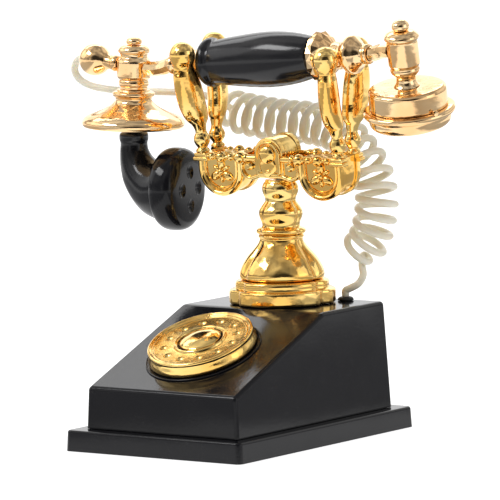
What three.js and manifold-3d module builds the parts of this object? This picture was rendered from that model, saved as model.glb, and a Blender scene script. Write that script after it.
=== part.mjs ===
// A French-style cradle telephone: wedge-shaped desk case with a rotary dial, a turned brass
// column, an ornamental cradle with four prongs, and a handset on a curly cord.
// Millimetres, +Z up, front towards -Y. The origin is the middle of the case's footprint,
// at the level of the surface the telephone stands on.

import * as THREE from 'three';
import { mergeVertices } from 'three/addons/utils/BufferGeometryUtils.js';
import Module from 'manifold-3d';

const wasm = await Module();
wasm.setup();

// ---------------------------------------------------------------- driving dimensions

const GAP = 0.3;                       // running gap left between pieces that touch
const DEG = Math.PI / 180;

// case
const PLINTH = { width: 139, depth: 196.8, bottom: 0.5, top: 14.1, draft: 0.045, corner: 4 };
const CASE = { width: 120, depth: 175.5, bottom: 14.4, frontTop: 41.1, top: 84.1, slopeTopY: 15.5 };
const CASE_DRAFT = { side: 0.05, front: 0.038, rear: 0.032 };
const CASE_WALL = 3;
const CASE_EDGE = 3;                   // radius of the case's outer edges
const SLOPE = 22.8 * DEG;              // lean of the sloping face that carries the dial

// dial, measured along the slope and square to it
const DIAL_UP_SLOPE = 52.9;
const DIAL = { x: -1, radius: 36.1, field: 8.5, fingerRing: 25.2, fingers: 12, domeRadius: 11.4 };
const SEAT_RADIUS = 40;

// column and cradle
const COLUMN = { x: 0, y: 50, lobes: 3 };
const CRADLE_Z = 167.5;                // foot of the cradle, on the column's axis
const RAKE = 6.5 * DEG;                // the cradle leans this much towards the front
const PLATE_Y = 8.5;                   // half the distance between the front and rear plates
const LOBE = { x: 39.8, z: 4.3, radius: 17.3 };
const BEAD_Z = 13.4;                   // height of the beaded bar above the cradle's foot
const RIVET = { x: 16.3, z: 8.1, radius: 2.8, shank: 1.4 };
const PRONG = { footX: 54.3, topX: 57, spread: 18, ballZ: 82.5, ballRadius: 8.5 };

// handset, along its own axis
const HANDSET_RISE = 77.5;             // axis above the cradle's foot
const HANDSET_TILT = 4.1 * DEG;        // right end up
const MOUTH_X = -111.3;
const EAR_X = 106;
const MOUTH_CANT = 6.3 * DEG;
const EAR_CANT = 7.1 * DEG;
const EAR_TURN = 6.9 * DEG;
const HORN_TURN = 8.5 * DEG;
const ROD = 4.85;
const SPINDLE = 3.7;
const BORE = SPINDLE + GAP;

// cord
const CORD = { radius: 2.45, coilRadius: 11.6, turns: 20, startTurn: 0 };

// ---------------------------------------------------------------- solids and meshes

function toSolid(geometry) {
  const bare = geometry.clone();
  bare.deleteAttribute('normal');
  bare.deleteAttribute('uv');
  const merged = mergeVertices(bare, 1e-3);
  const points = merged.attributes.position;
  const source = merged.index.array;
  const corners = [];
  let volume = 0;
  const [a, b, c] = [new THREE.Vector3(), new THREE.Vector3(), new THREE.Vector3()];
  for (let i = 0; i < source.length; i += 3) {
    const [p, q, r] = [source[i], source[i + 1], source[i + 2]];
    if (p === q || q === r || r === p) continue;
    corners.push(p, q, r);
    a.fromBufferAttribute(points, p);
    b.fromBufferAttribute(points, q);
    c.fromBufferAttribute(points, r);
    volume += a.dot(b.cross(c));
  }
  if (volume < 0) {
    for (let i = 0; i < corners.length; i += 3) {
      [corners[i + 1], corners[i + 2]] = [corners[i + 2], corners[i + 1]];
    }
  }
  return new wasm.Manifold(new wasm.Mesh({
    numProp: 3,
    vertProperties: new Float32Array(points.array),
    triVerts: new Uint32Array(corners),
  }));
}

function toGeometry(solid) {
  const mesh = solid.getMesh();
  const geometry = new THREE.BufferGeometry();
  geometry.setAttribute('position', new THREE.BufferAttribute(mesh.vertProperties, 3));
  geometry.setIndex(new THREE.BufferAttribute(mesh.triVerts, 1));
  geometry.computeVertexNormals();
  return geometry;
}

function union(...solids) {
  return solids.reduce((whole, next) => whole.add(next));
}

// Solid of revolution about Z from [radius, height] points.
function turned(profile, facets = 24) {
  const points = profile.map(([r, z]) => new THREE.Vector2(r, z));
  return new THREE.LatheGeometry(points, facets).rotateX(Math.PI / 2);
}

function drum(radius, low, high, facets = 24) {
  return turned([[0, low], [radius, low], [radius, high], [0, high]], facets);
}

function block(x0, x1, y0, y1, z0, z1) {
  const box = new THREE.BoxGeometry(x1 - x0, y1 - y0, z1 - z0);
  return box.translate((x0 + x1) / 2, (y0 + y1) / 2, (z0 + z1) / 2);
}

function ball(radius, x, y, z, facets = 12) {
  return new THREE.SphereGeometry(radius, facets, Math.max(6, facets / 2)).translate(x, y, z);
}

// Closed skin through rings that have the same number of points.
function loft(rings) {
  const count = rings[0].length;
  const points = rings.flat();
  const corners = [];
  for (let i = 0; i + 1 < rings.length; i++) {
    for (let j = 0; j < count; j++) {
      const k = (j + 1) % count;
      const [p, q] = [i * count + j, i * count + k];
      corners.push(p, q, q + count, p, q + count, p + count);
    }
  }
  for (const end of [0, rings.length - 1]) {
    const middle = new THREE.Vector3();
    rings[end].forEach((point) => middle.add(point));
    points.push(middle.divideScalar(count));
    for (let j = 0; j < count; j++) {
      const [p, q] = [end * count + j, end * count + (j + 1) % count];
      corners.push(...(end === 0 ? [q, p] : [p, q]), points.length - 1);
    }
  }
  const geometry = new THREE.BufferGeometry().setFromPoints(points);
  geometry.setIndex(corners);
  return geometry;
}

function circleRing(centre, across, upward, radius, facets) {
  return Array.from({ length: facets }, (_, j) => {
    const t = (j / facets) * 2 * Math.PI;
    return centre.clone()
      .addScaledVector(across, Math.cos(t) * radius)
      .addScaledVector(upward, Math.sin(t) * radius);
  });
}

function roundedRectangle(width, depth, radius) {
  const [x, y] = [width / 2, depth / 2];
  const shape = new THREE.Shape();
  shape.absarc(x - radius, y - radius, radius, 0, Math.PI / 2);
  shape.absarc(-x + radius, y - radius, radius, Math.PI / 2, Math.PI);
  shape.absarc(-x + radius, -y + radius, radius, Math.PI, 1.5 * Math.PI);
  shape.absarc(x - radius, -y + radius, radius, 1.5 * Math.PI, 2 * Math.PI);
  shape.closePath();
  return shape;
}

// A shape drawn upright in X and Z, as thick as y0 to y1.
function standing(shape, y0, y1, curveSegments = 8) {
  const slab = new THREE.ExtrudeGeometry(shape, { depth: y1 - y0, bevelEnabled: false, curveSegments });
  return toSolid(slab.rotateX(Math.PI / 2).translate(0, y1, 0));
}

// A round wire along points, open at neither end.
function wire(points, radius, sides = 8, steps = 24) {
  const section = new THREE.Shape();
  section.absarc(0, 0, radius, 0, 2 * Math.PI);
  return new THREE.ExtrudeGeometry(section, {
    extrudePath: new THREE.CatmullRomCurve3(points), steps, bevelEnabled: false, curveSegments: sides,
  });
}

function vectors(rows) {
  return rows.map(([x, y, z]) => new THREE.Vector3(x, y, z));
}

const FINISHES = {
  black: { color: 0x0b0b0c, roughness: 0.12, metalness: 0 },
  gold: { color: 0xe0a83a, roughness: 0.16, metalness: 1 },
  paleGold: { color: 0xe6c48f, roughness: 0.17, metalness: 1 },
  brass: { color: 0xb58a3e, roughness: 0.35, metalness: 1 },
  steel: { color: 0x9a9da1, roughness: 0.4, metalness: 1 },
  cord: { color: 0xe9e6d8, roughness: 0.4, metalness: 0 },
  felt: { color: 0x202423, roughness: 0.95, metalness: 0 },
  board: { color: 0x6f5a2c, roughness: 0.6, metalness: 0 },
  rubber: { color: 0x161616, roughness: 0.7, metalness: 0 },
};

const telephone = new THREE.Group();

function addPiece(parent, name, finish, solid) {
  const mesh = new THREE.Mesh(toGeometry(solid), new THREE.MeshStandardMaterial(FINISHES[finish]));
  mesh.name = name;
  parent.add(mesh);
  return mesh;
}

function addGroup(parent, [x, y, z], { turnX = 0, turnY = 0, turnZ = 0 } = {}) {
  const group = new THREE.Group();
  group.position.set(x, y, z);
  group.rotation.set(turnX, turnY, turnZ);
  parent.add(group);
  return group;
}

// ---------------------------------------------------------------- case

// Side outline of the case in Y and Z. It runs on below the case, which is cut off level later.
const caseCorners = [
  [-CASE.depth / 2, CASE.bottom - 12],
  [CASE.depth / 2, CASE.bottom - 12],
  [CASE.depth / 2 - CASE_DRAFT.rear * (CASE.top - CASE.bottom), CASE.top],
  [CASE.slopeTopY, CASE.top],
  [-CASE.depth / 2 + CASE_DRAFT.front * (CASE.frontTop - CASE.bottom), CASE.frontTop],
].map(([y, z]) => new THREE.Vector2(y, z));

// A convex outline drawn in by `inset`, its corners rounded; corners run anticlockwise.
function roundedOutline(corners, inset, radius, steps) {
  const sides = corners.map((corner, i) => {
    const along = corners[(i + 1) % corners.length].clone().sub(corner).normalize();
    const inward = new THREE.Vector2(-along.y, along.x);
    return { foot: corner.clone().addScaledVector(inward, inset), along, inward };
  });
  return sides.flatMap((side, i) => {
    const before = sides[(i + sides.length - 1) % sides.length];
    const reach = side.foot.clone().sub(before.foot).cross(side.along) / before.along.cross(side.along);
    const corner = before.foot.clone().addScaledVector(before.along, reach);
    const turn = Math.atan2(before.along.cross(side.along), before.along.dot(side.along));
    const setback = radius * Math.tan(turn / 2);
    const centre = corner.clone().addScaledVector(before.along, -setback).addScaledVector(before.inward, radius);
    return Array.from({ length: steps + 1 }, (_, k) => {
      const spoke = before.inward.clone().rotateAround(new THREE.Vector2(), turn * k / steps);
      return centre.clone().addScaledVector(spoke, -radius);
    });
  });
}

// The case's outline carried across its width, the sides drawn in towards the top.
function caseBody(inset, edge) {
  const halfWidth = CASE.width / 2 - inset;
  const steps = edge > 0 ? 2 : 1;
  const ends = Array.from({ length: steps + 1 }, (_, k) => (k / steps) * Math.PI / 2)
    .map((t) => [halfWidth - edge + edge * Math.cos(t), inset + edge * (1 - Math.sin(t))]);
  const right = edge > 0 ? ends : [[halfWidth, inset]];
  const stations = [
    ...right.map(([x, in_]) => [-x, in_]),
    ...right.slice().reverse(),
  ].sort((p, q) => p[0] - q[0]);
  const rings = stations.map(([x, drawn]) => (
    roundedOutline(caseCorners, drawn, CASE_EDGE + 2 - Math.min(drawn, CASE_EDGE), 3).map((point) => {
      const taper = 1 - CASE_DRAFT.side * (point.y - CASE.bottom) / halfWidth;
      return new THREE.Vector3(x * taper, point.x, point.y);
    })
  ));
  return toSolid(loft(rings));
}

const dialFoot = new THREE.Vector3(
  DIAL.x,
  -CASE.depth / 2 + CASE_DRAFT.front * (CASE.frontTop - CASE.bottom) + DIAL_UP_SLOPE * Math.cos(SLOPE),
  CASE.frontTop + DIAL_UP_SLOPE * Math.sin(SLOPE),
);

function onSlope(geometry) {
  return geometry.rotateX(SLOPE).translate(dialFoot.x, dialFoot.y, dialFoot.z);
}

const CORD_EXIT = { x: 31.5, y: 77 };
const LINE_INLET = { x: -30, z: 26 };

function buildHousing() {
  const far = 200;
  const above = toSolid(block(-far, far, -far, far, CASE.bottom, far));
  const hollow = caseBody(CASE_WALL, 0);
  const dialHole = toSolid(onSlope(drum(31.4, -12, 12, 28)));
  const columnHole = toSolid(drum(7, CASE.top - 8, CASE.top + 8).translate(COLUMN.x, COLUMN.y, 0));
  const cordHole = toSolid(drum(4, CASE.top - 8, CASE.top + 8, 16).translate(CORD_EXIT.x, CORD_EXIT.y, 0));
  const lineHole = toSolid(drum(4.5, 70, 100, 16).rotateX(-Math.PI / 2).translate(LINE_INLET.x, 0, LINE_INLET.z));
  return caseBody(0, CASE_EDGE)
    .subtract(hollow)
    .intersect(above)
    .subtract(union(dialHole, columnHole, cordHole, lineHole));
}

const RECESS = { width: 131, depth: 188, top: 3.2 };

function buildPlinth() {
  const bevel = 1.5;
  const outer = new THREE.ExtrudeGeometry(roundedRectangle(PLINTH.width, PLINTH.depth, PLINTH.corner), {
    depth: PLINTH.top - PLINTH.bottom - bevel,
    bevelThickness: bevel,
    bevelSize: bevel,
    bevelOffset: -bevel,
    bevelSegments: 2,
    curveSegments: 3,
  });
  outer.translate(0, 0, PLINTH.bottom);
  const place = outer.attributes.position;
  for (let i = 0; i < place.count; i++) {
    const lift = place.getZ(i) - PLINTH.bottom;
    place.setX(i, place.getX(i) * (1 - 2 * PLINTH.draft * lift / PLINTH.width));
    place.setY(i, place.getY(i) * (1 - 2 * PLINTH.draft * lift / PLINTH.depth));
  }
  const floorCut = toSolid(block(-100, 100, -120, 120, -20, PLINTH.bottom));
  const recess = toSolid(block(-RECESS.width / 2, RECESS.width / 2, -RECESS.depth / 2, RECESS.depth / 2, 0, RECESS.top));
  const opening = toSolid(block(-55, 55, -82, 82, 0, 20));
  return toSolid(outer).subtract(union(floorCut, recess, opening));
}

const PLATE_SCREWS = { front: -88, rear: 88 };

function atScrews(radius, low, high) {
  return union(...Object.values(PLATE_SCREWS).map((y) => toSolid(drum(radius, low, high, 10).translate(0, y, 0))));
}

function buildBottomPlate() {
  const [x, y] = [RECESS.width / 2 - GAP, RECESS.depth / 2 - GAP];
  return toSolid(block(-x, x, -y, y, 1.6, 2.9)).subtract(union(atScrews(3.2, 0, 2.3), atScrews(1.9, 0, 6)));
}

addPiece(telephone, 'base_pad', 'felt', toSolid(block(-64.5, 64.5, -93, 93, 0, 1.2)));
addPiece(telephone, 'base_plinth', 'black', buildPlinth().subtract(atScrews(1.8, 0, 10)));
addPiece(telephone, 'bottom_plate', 'steel', buildBottomPlate());
for (const [end, y] of Object.entries(PLATE_SCREWS)) {
  addPiece(telephone, `plate_screw_${end}`, 'steel', toSolid(
    turned([[0, 1.5], [2.8, 1.5], [2.8, 2], [1.5, 2], [1.5, 8.5], [0, 9.3]], 10).translate(0, y, 0),
  ));
}
addPiece(telephone, 'base_housing', 'black', buildHousing());

addPiece(telephone, 'line_cord_bushing', 'rubber', toSolid(
  turned([[1.6, -3.6], [4, -3.6], [4, 0], [6.2, 0], [6.2, 2.4], [1.6, 2.4], [1.6, -3.6]], 12)
    .rotateX(-Math.PI / 2)
    .translate(LINE_INLET.x, CASE.depth / 2 - CASE_DRAFT.rear * (LINE_INLET.z - CASE.bottom) + GAP, LINE_INLET.z),
));

addPiece(telephone, 'cord_bushing', 'rubber', toSolid(
  turned([[0, -4], [3.7, -4], [3.7, GAP], [5.2, GAP], [5.2, 1.2], [4, 2.4], [0, 2.4]], 12)
    .translate(CORD_EXIT.x, CORD_EXIT.y, CASE.top),
));

// ---------------------------------------------------------------- dial

const dial = addGroup(telephone, dialFoot.toArray(), { turnX: SLOPE });

function buildDialWheel() {
  const { radius, field, fingerRing, fingers } = DIAL;
  const wheel = toSolid(turned([
    [3.4, 5.4], [28.6, 5.4], [30.4, 1.5], [35.7, 1.5], [radius, 3.2], [34.7, 6], [35.3, 8.2],
    [34.7, 9.9], [33.4, 10.3], [31.4, field], [15.6, field], [14.6, 9.5], [13.6, field], [3.4, field],
    [3.4, 5.4],
  ], 28));
  const cups = Array.from({ length: fingers }, (_, i) => {
    const t = (i / fingers) * 2 * Math.PI;
    return toSolid(ball(4.4, fingerRing * Math.cos(t), fingerRing * Math.sin(t), field + 3.1, 8));
  });
  return wheel.subtract(union(...cups));
}

addPiece(dial, 'dial_seat_ring', 'black', toSolid(turned([
  [31.6, GAP], [SEAT_RADIUS, GAP], [SEAT_RADIUS, 1.3], [39.2, 1.9], [37.4, 1.9], [36.8, 1.1],
  [31.6, 1.1], [31.6, GAP],
], 26)));
addPiece(dial, 'dial_wheel', 'gold', buildDialWheel());
addPiece(dial, 'dial_centre_dome', 'gold', toSolid(turned([
  [0, 8.8], [DIAL.domeRadius, 8.8], [10.9, 9.8], [8.4, 10.9], [4.6, 11.6], [0, 11.8],
], 20)));
addPiece(dial, 'dial_spindle', 'steel', toSolid(turned([
  [0, -19], [2.6, -19], [2.6, -12], [10, -12], [10, -10.5], [2.6, -10.5], [2.6, 5.1], [3.1, 5.1],
  [3.1, 8.5], [0, 8.5],
], 12)));
addPiece(dial, 'dial_frame', 'brass', union(
  toSolid(turned([[3, -9], [30.8, -9], [30.8, -4], [29.2, -4], [29.2, -7.5], [3, -7.5], [3, -9]], 20)),
  toSolid(turned([[3, -18], [17, -18], [17, -16.5], [3, -16.5], [3, -18]], 14)),
  ...[40, 160, 280].map((angle) => toSolid(
    drum(1.6, -17, -8, 8).translate(15 * Math.cos(angle * DEG), 15 * Math.sin(angle * DEG), 0),
  )),
));

// ---------------------------------------------------------------- ringer and switch in the case

const GONG = { x: 26.5, y: 4, low: 30, radius: 21.5, pivotY: 34 };

function buildGong(side) {
  const { radius, low } = GONG;
  return toSolid(turned([
    [2, low + 10.4], [8, low + 10], [16, low + 6.6], [radius - 0.6, low], [radius, low],
    [16.6, low + 7.8], [8.2, low + 11.4], [2, low + 11.8], [2, low + 10.4],
  ], 16).translate(side * GONG.x, GONG.y, 0));
}

function buildRingerBracket() {
  const plate = toSolid(block(-34, 34, -6, 42, 16, 17.4));
  const posts = [-1, 1].map((side) => toSolid(
    turned([[0, 17], [3.4, 17], [3.4, 39.8], [1.7, 39.8], [1.7, 43.5], [0, 43.5]], 10)
      .translate(side * GONG.x, GONG.y, 0),
  ));
  const pivot = toSolid(turned([[0, 17], [2.4, 17], [2.4, 33.6], [1.4, 33.6], [1.4, 38.4], [0, 38.4]], 12)
    .translate(0, GONG.pivotY, 0));
  const feet = [[-30, 38], [30, 38], [-30, -2], [30, -2]].map(([x, y]) => toSolid(
    drum(2.6, 3.2, 16.5, 8).translate(x, y, 0),
  ));
  return union(plate, ...posts, pivot, ...feet);
}

addPiece(telephone, 'ringer_bracket', 'steel', buildRingerBracket());
addPiece(telephone, 'bell_gong_left', 'brass', buildGong(-1));
addPiece(telephone, 'bell_gong_right', 'brass', buildGong(1));
addPiece(telephone, 'ringer_coils', 'brass', union(
  toSolid(block(-16, 16, 24.5, 30, 28, 29.6)),
  ...[-1, 1].map((side) => toSolid(
    turned([[0, 17.7], [8.4, 17.7], [8.4, 19], [7.2, 19], [7.2, 27], [8.4, 27], [8.4, 28.2], [0, 28.2]], 12)
      .translate(side * 11, 27, 0),
  )),
));
addPiece(telephone, 'bell_clapper', 'steel', union(
  toSolid(turned([[1.8, 34], [3.4, 34], [3.4, 37], [1.8, 37], [1.8, 34]], 10).translate(0, GONG.pivotY, 0)),
  toSolid(block(-1.1, 1.1, 6, 31.2, 34.8, 36.2)),
  toSolid(ball(2.6, 0, GONG.y, 35.5, 8)),
));

const HOOK = { pivotY: 70, pivotZ: 58, collarTop: 62.1 };

function buildHookLever() {
  const hub = toSolid(drum(3, -5, 5, 14).rotateY(Math.PI / 2).translate(0, HOOK.pivotY, HOOK.pivotZ));
  const arm = toSolid(block(-3, 3, 54, 70, HOOK.collarTop + 0.4, HOOK.collarTop + 1.8));
  const neck = toSolid(block(-3, 3, 66.5, 70, HOOK.pivotZ, HOOK.collarTop + 1.8));
  const tail = toSolid(block(-2, 2, 70, 79, HOOK.pivotZ - 0.7, HOOK.pivotZ + 0.7));
  const pinHole = toSolid(drum(1.5, -8, 8, 12).rotateY(Math.PI / 2).translate(0, HOOK.pivotY, HOOK.pivotZ));
  return union(hub, arm, neck, tail).subtract(pinHole);
}

function buildHookBracket() {
  const cheeks = [-1, 1].map((side) => toSolid(block(
    side > 0 ? 5.4 : -6.6, side > 0 ? 6.6 : -5.4, 62, 74, 34, 62,
  )));
  const shelf = toSolid(block(-12, 12, 40, 74, 34, 35.4));
  const pin = toSolid(drum(1.2, -6, 6, 12).rotateY(Math.PI / 2).translate(0, HOOK.pivotY, HOOK.pivotZ));
  const legs = [[-9, 56], [9, 56], [0, 71]].map(([x, y]) => toSolid(drum(2.2, 3.2, 34.5, 8).translate(x, y, 0)));
  const guide = toSolid(drum(3.4, 30, 40, 14).translate(COLUMN.x, COLUMN.y, 0));
  return union(...cheeks, shelf, pin, ...legs).subtract(guide);
}

addPiece(telephone, 'hook_bracket', 'steel', buildHookBracket());
addPiece(telephone, 'hook_lever', 'brass', buildHookLever());
addPiece(telephone, 'hook_contacts', 'board', union(
  toSolid(block(-4, 4, 77, 81, 38, 53)),
  ...[44, 48, 52].map((z) => toSolid(block(-2.5, 2.5, 71, 78, z, z + 0.8))),
  toSolid(drum(2, 3.2, 38.5, 8).translate(0, 79, 0)),
));

addPiece(telephone, 'network_board', 'board', union(
  toSolid(block(-42, 42, -76, -26, 10, 11.6)),
  toSolid(block(-34, -12, -70, -46, 11, 24)),
  toSolid(drum(7, 11, 26, 16).translate(6, -58, 0)),
  toSolid(block(18, 36, -66, -40, 11, 19)),
  ...[[-38, -72], [38, -72], [-38, -30], [38, -30]].map(([x, y]) => toSolid(
    drum(2, 3.2, 10.5, 8).translate(x, y, 0),
  )),
));

// ---------------------------------------------------------------- column

// Steps of angle across one lobe, from notch to notch, closer together by the notches.
const LOBE_STEPS = [0, 6, 16, 45, 75, 104, 114];
const LOBE_PITCH = 360 / COLUMN.lobes;

// Revolved profile whose section has three lobes, parted by narrow notches, one towards +X.
function lobed(profile, notchDepth) {
  const angles = Array.from({ length: COLUMN.lobes }, (_, lobe) => (
    LOBE_STEPS.map((step) => [lobe * LOBE_PITCH + step, Math.min(step, LOBE_PITCH - step)])
  )).flat();
  const rings = profile.map(([r, z]) => angles.map(([angle, away]) => {
    const radius = r * (1 - notchDepth * Math.exp(-((away / 9) ** 2)));
    return new THREE.Vector3(radius * Math.cos(angle * DEG), radius * Math.sin(angle * DEG), z);
  }));
  return loft(rings);
}

const column = addGroup(telephone, [COLUMN.x, COLUMN.y, CASE.top]);

function bored(solid, radius) {
  return solid.subtract(toSolid(drum(radius, -20, 120, 16)));
}

addPiece(column, 'column_foot', 'gold', bored(toSolid(lobed([
  [33.6, 0.3], [35, 2], [35, 8], [34, 9.6], [30, 10.4], [29.8, 13.8], [28.6, 15.4], [26.5, 15.7],
], 0.1)), 4.4));
addPiece(column, 'column_bell', 'gold', bored(toSolid(lobed([
  [26.5, 16], [27.8, 17.6], [27.8, 20.5], [26.6, 25], [22.8, 31.8], [17.8, 37.4], [14.2, 42.4],
  [14.8, 43.8], [14.8, 45.2],
], 0.1)), 4.4));
addPiece(column, 'column_shaft', 'gold', bored(toSolid(lobed([
  [15.2, 45.5], [16.2, 46.6], [16.2, 48.4], [13.2, 51.4], [14.4, 57], [14.3, 61],
  [10, 67.4], [11.9, 73], [11.7, 76.8], [9.7, 80], [9.6, 81.2],
], 0.08)), 4.4));
addPiece(column, 'column_tube', 'steel', toSolid(turned([
  [3.4, -16], [4.1, -16], [4.1, 80], [3.4, 80], [3.4, -16],
], 16)));
addPiece(column, 'column_nut', 'steel', bored(toSolid(drum(9, -8.4, -3.4, 6)), 4.4));

// ---------------------------------------------------------------- cradle

const cradle = addGroup(telephone, [COLUMN.x, COLUMN.y, CRADLE_Z], { turnX: RAKE });

function lobeShape(side, radius, top) {
  const shape = new THREE.Shape();
  const x = side * LOBE.x;
  shape.moveTo(x + radius, top);
  shape.lineTo(x + radius, LOBE.z);
  shape.absarc(x, LOBE.z, radius, 0, -Math.PI, true);
  shape.lineTo(x - radius, top);
  shape.closePath();
  return shape;
}

function archShape(halfWidth, bottom, top) {
  const shape = new THREE.Shape();
  shape.moveTo(-halfWidth, bottom);
  shape.lineTo(halfWidth, bottom);
  shape.lineTo(halfWidth, top - halfWidth);
  shape.absarc(0, top - halfWidth, halfWidth, 0, Math.PI);
  shape.closePath();
  return shape;
}

// Three-petalled flower in the middle of each lobe.
function flowerShape(x, z) {
  const tips = Array.from({ length: 6 }, (_, i) => {
    const t = (i * 60 + 90) * DEG;
    const reach = i % 2 === 0 ? 8.6 : 1.8;
    return [x + reach * Math.cos(t), z + reach * Math.sin(t)];
  });
  const shape = new THREE.Shape();
  shape.moveTo(...tips[5]);
  for (let i = 0; i < 6; i += 2) {
    const [left, right] = [-34, 34].map((swing) => {
      const t = (i * 60 + 90 + swing) * DEG;
      return [x + 5.4 * Math.cos(t), z + 5.4 * Math.sin(t)];
    });
    shape.quadraticCurveTo(...left, ...tips[i]);
    shape.quadraticCurveTo(...right, ...tips[i + 1]);
  }
  return shape;
}

// Web between the lobes with a scalloped lower edge.
function webShape() {
  const shape = new THREE.Shape();
  shape.moveTo(-26, 12.5);
  shape.lineTo(-26, 2.5);
  shape.quadraticCurveTo(-17, -3.4, -9.5, 1);
  shape.lineTo(9.5, 1);
  shape.quadraticCurveTo(17, -3.4, 26, 2.5);
  shape.lineTo(26, 12.5);
  shape.closePath();
  return shape;
}

const BEADS = [
  [10, 2.2], [18.6, 2.2], [19.4, 1.4], [21.6, 3.6], [25.8, 3.6], [28.2, 1.3], [31.8, 2.2], [35.2, 1.4],
  [37.6, 3.1], [40.8, 3.1], [43, 1.5], [45.4, 2.1], [49.5, 1.6],
];

function beadBar(side) {
  const profile = [[0, BEADS[0][0]], ...BEADS.map(([x, r]) => [r, x]), [0, BEADS[BEADS.length - 1][0]]];
  return toSolid(turned(profile, 6).rotateY(side * Math.PI / 2).translate(0, -2, BEAD_Z));
}

// Raised scroll that runs from the lobe under the rivet to the middle.
function scroll(side) {
  const points = vectors([
    [side * 21.5, -1.8, 10.5], [side * 22.6, -1.8, 6.5], [side * 21, -1.8, 1.6], [side * 16.4, -1.8, -0.4],
    [side * 11.6, -1.8, 0.9], [side * 8, -1.8, 2.1],
  ]);
  return toSolid(wire(points, 1.35, 2, 9));
}

function rivetHoles() {
  return union(...[-1, 1].map((side) => toSolid(
    drum(RIVET.shank + 0.45, -20, 20, 8).rotateX(Math.PI / 2).translate(side * RIVET.x, 0, RIVET.z),
  )));
}

// One ornamental plate, its show face towards -Y, with its middle plane at Y = 0.
function buildPlate() {
  const lobes = [-1, 1].flatMap((side) => {
    const rim = standing(lobeShape(side, LOBE.radius, 12.5), -3.4, 1.5, 6)
      .subtract(standing(lobeShape(side, LOBE.radius - 2.8, 14), -4, -2.4, 6))
      .subtract(standing(lobeShape(side, LOBE.radius - 4.6, 14), -4, -1.4, 5));
    return [rim, standing(flowerShape(side * LOBE.x, LOBE.z - 1), -2.8, -1, 3)];
  });
  const web = standing(webShape(), -1.4, 1.5, 4);
  const ledges = [-1, 1].map((side) => toSolid(block(
    Math.min(side * 48.4, side * 60.3), Math.max(side * 48.4, side * 60.3), -4.4, 1.5, 10.2, 15.6,
  )));
  const hood = standing(archShape(11, 1, 27.4), -2.6, 1.5, 6);
  const plaque = standing(archShape(9.8, 2.6, 24), -4.6, -2.5, 6);
  const dome = toSolid(new THREE.SphereGeometry(1, 8, 6).scale(6.6, 1.6, 7.4).translate(0, -4.6, 14.5));
  const lens = toSolid(new THREE.SphereGeometry(1, 6, 4).scale(2.4, 1.2, 1.2).translate(0, -5, 5.2));
  const whole = union(
    web, ...lobes, ...ledges, hood, plaque, dome, lens,
    beadBar(-1), beadBar(1), scroll(-1), scroll(1),
  );
  return whole.subtract(rivetHoles());
}

function buildLobeBlock(side) {
  const reach = [side * 11.4, side * 30];
  const lobe = standing(lobeShape(side, LOBE.radius - 1.2, 14.6), -6.7, 6.7, 10);
  const arm = toSolid(block(Math.min(...reach), Math.max(...reach), -6.7, 6.7, 2.5, 11.5));
  return lobe.add(arm).subtract(rivetHoles());
}

function buildBarrel() {
  const arch = standing(archShape(11, 1.6, 26.6), -6.7, 6.7, 10);
  const socket = toSolid(drum(3.5, -12, 7.8, 12).rotateX(-RAKE));
  return arch.subtract(socket);
}

const frontPlate = addPiece(cradle, 'cradle_front_plate', 'gold', buildPlate());
frontPlate.position.y = -PLATE_Y;
const rearPlate = addPiece(cradle, 'cradle_rear_plate', 'gold', buildPlate());
rearPlate.position.y = PLATE_Y;
rearPlate.rotation.z = Math.PI;
addPiece(cradle, 'cradle_lobe_left', 'gold', buildLobeBlock(-1));
addPiece(cradle, 'cradle_lobe_right', 'gold', buildLobeBlock(1));
addPiece(cradle, 'cradle_barrel', 'gold', buildBarrel());
for (const [name, side] of [['left', -1], ['right', 1]]) {
  const [face, crown] = [PLATE_Y + 1.4 + GAP, PLATE_Y + 4.6];
  addPiece(cradle, `cradle_rivet_${name}`, 'gold', toSolid(turned([
    [0, -crown], [1.8, 0.4 - crown], [RIVET.radius, -face - 1.2], [RIVET.radius, -face], [RIVET.shank, -face],
    [RIVET.shank, face], [RIVET.radius, face], [RIVET.radius, face + 1.2], [1.8, crown - 0.4], [0, crown],
  ], 10).rotateX(Math.PI / 2).translate(side * RIVET.x, 0, RIVET.z)));
}

// [height, distance from the middle plane, X position, half width in X, half thickness in Y]
const PRONG_RINGS = [
  [15.9, 8.5, 54.3, 4.6, 4.4], [17.2, 8.5, 54.3, 4.8, 4.6], [19, 8.5, 54.3, 3.3, 3.3],
  [22.4, 8.5, 54.3, 4.8, 4.8], [25.8, 8.5, 54.3, 5.3, 5.3], [28.6, 8.7, 54.3, 4.3, 4.3],
  [30.8, 9, 54.3, 3.5, 3.6], [34.6, 10, 54.4, 4.8, 5], [39.5, 11.8, 54.6, 6.2, 7],
  [47, 14.2, 55, 6.8, 8.7], [58, 16, 55.7, 6.8, 9.2], [68.5, 17.2, 56.5, 6.2, 8.4],
  [74.8, 17.8, 57, 6.2, 7.6], [78.5, 18, 57, 7.9, 7.9], [82.5, 18, 57, 8.5, 8.5],
  [86.5, 18, 57, 7.6, 7.6], [90, 18, 57, 3.9, 3.9],
];

function buildProng(side, end) {
  const facets = 8;
  const rings = PRONG_RINGS.map(([z, y, x, halfWidth, halfThickness]) => (
    Array.from({ length: facets }, (_, j) => {
      const t = (j / facets) * 2 * Math.PI;
      return new THREE.Vector3(
        side * x + halfWidth * Math.cos(t),
        end * y + halfThickness * Math.sin(t),
        z,
      );
    })
  ));
  const dimples = [[72, 57, 17.7 + 8.1], [40.5, 54.7, 12.2 + 6.9]].map(([z, x, y]) => (
    toSolid(ball(2.6, side * x, end * (y + 0.9), z, 6))
  ));
  return toSolid(loft(rings)).subtract(union(...dimples));
}

for (const [endName, end] of [['front', -1], ['rear', 1]]) {
  for (const [sideName, side] of [['left', -1], ['right', 1]]) {
    addPiece(cradle, `prong_${endName}_${sideName}`, 'gold', buildProng(side, end));
  }
}

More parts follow.
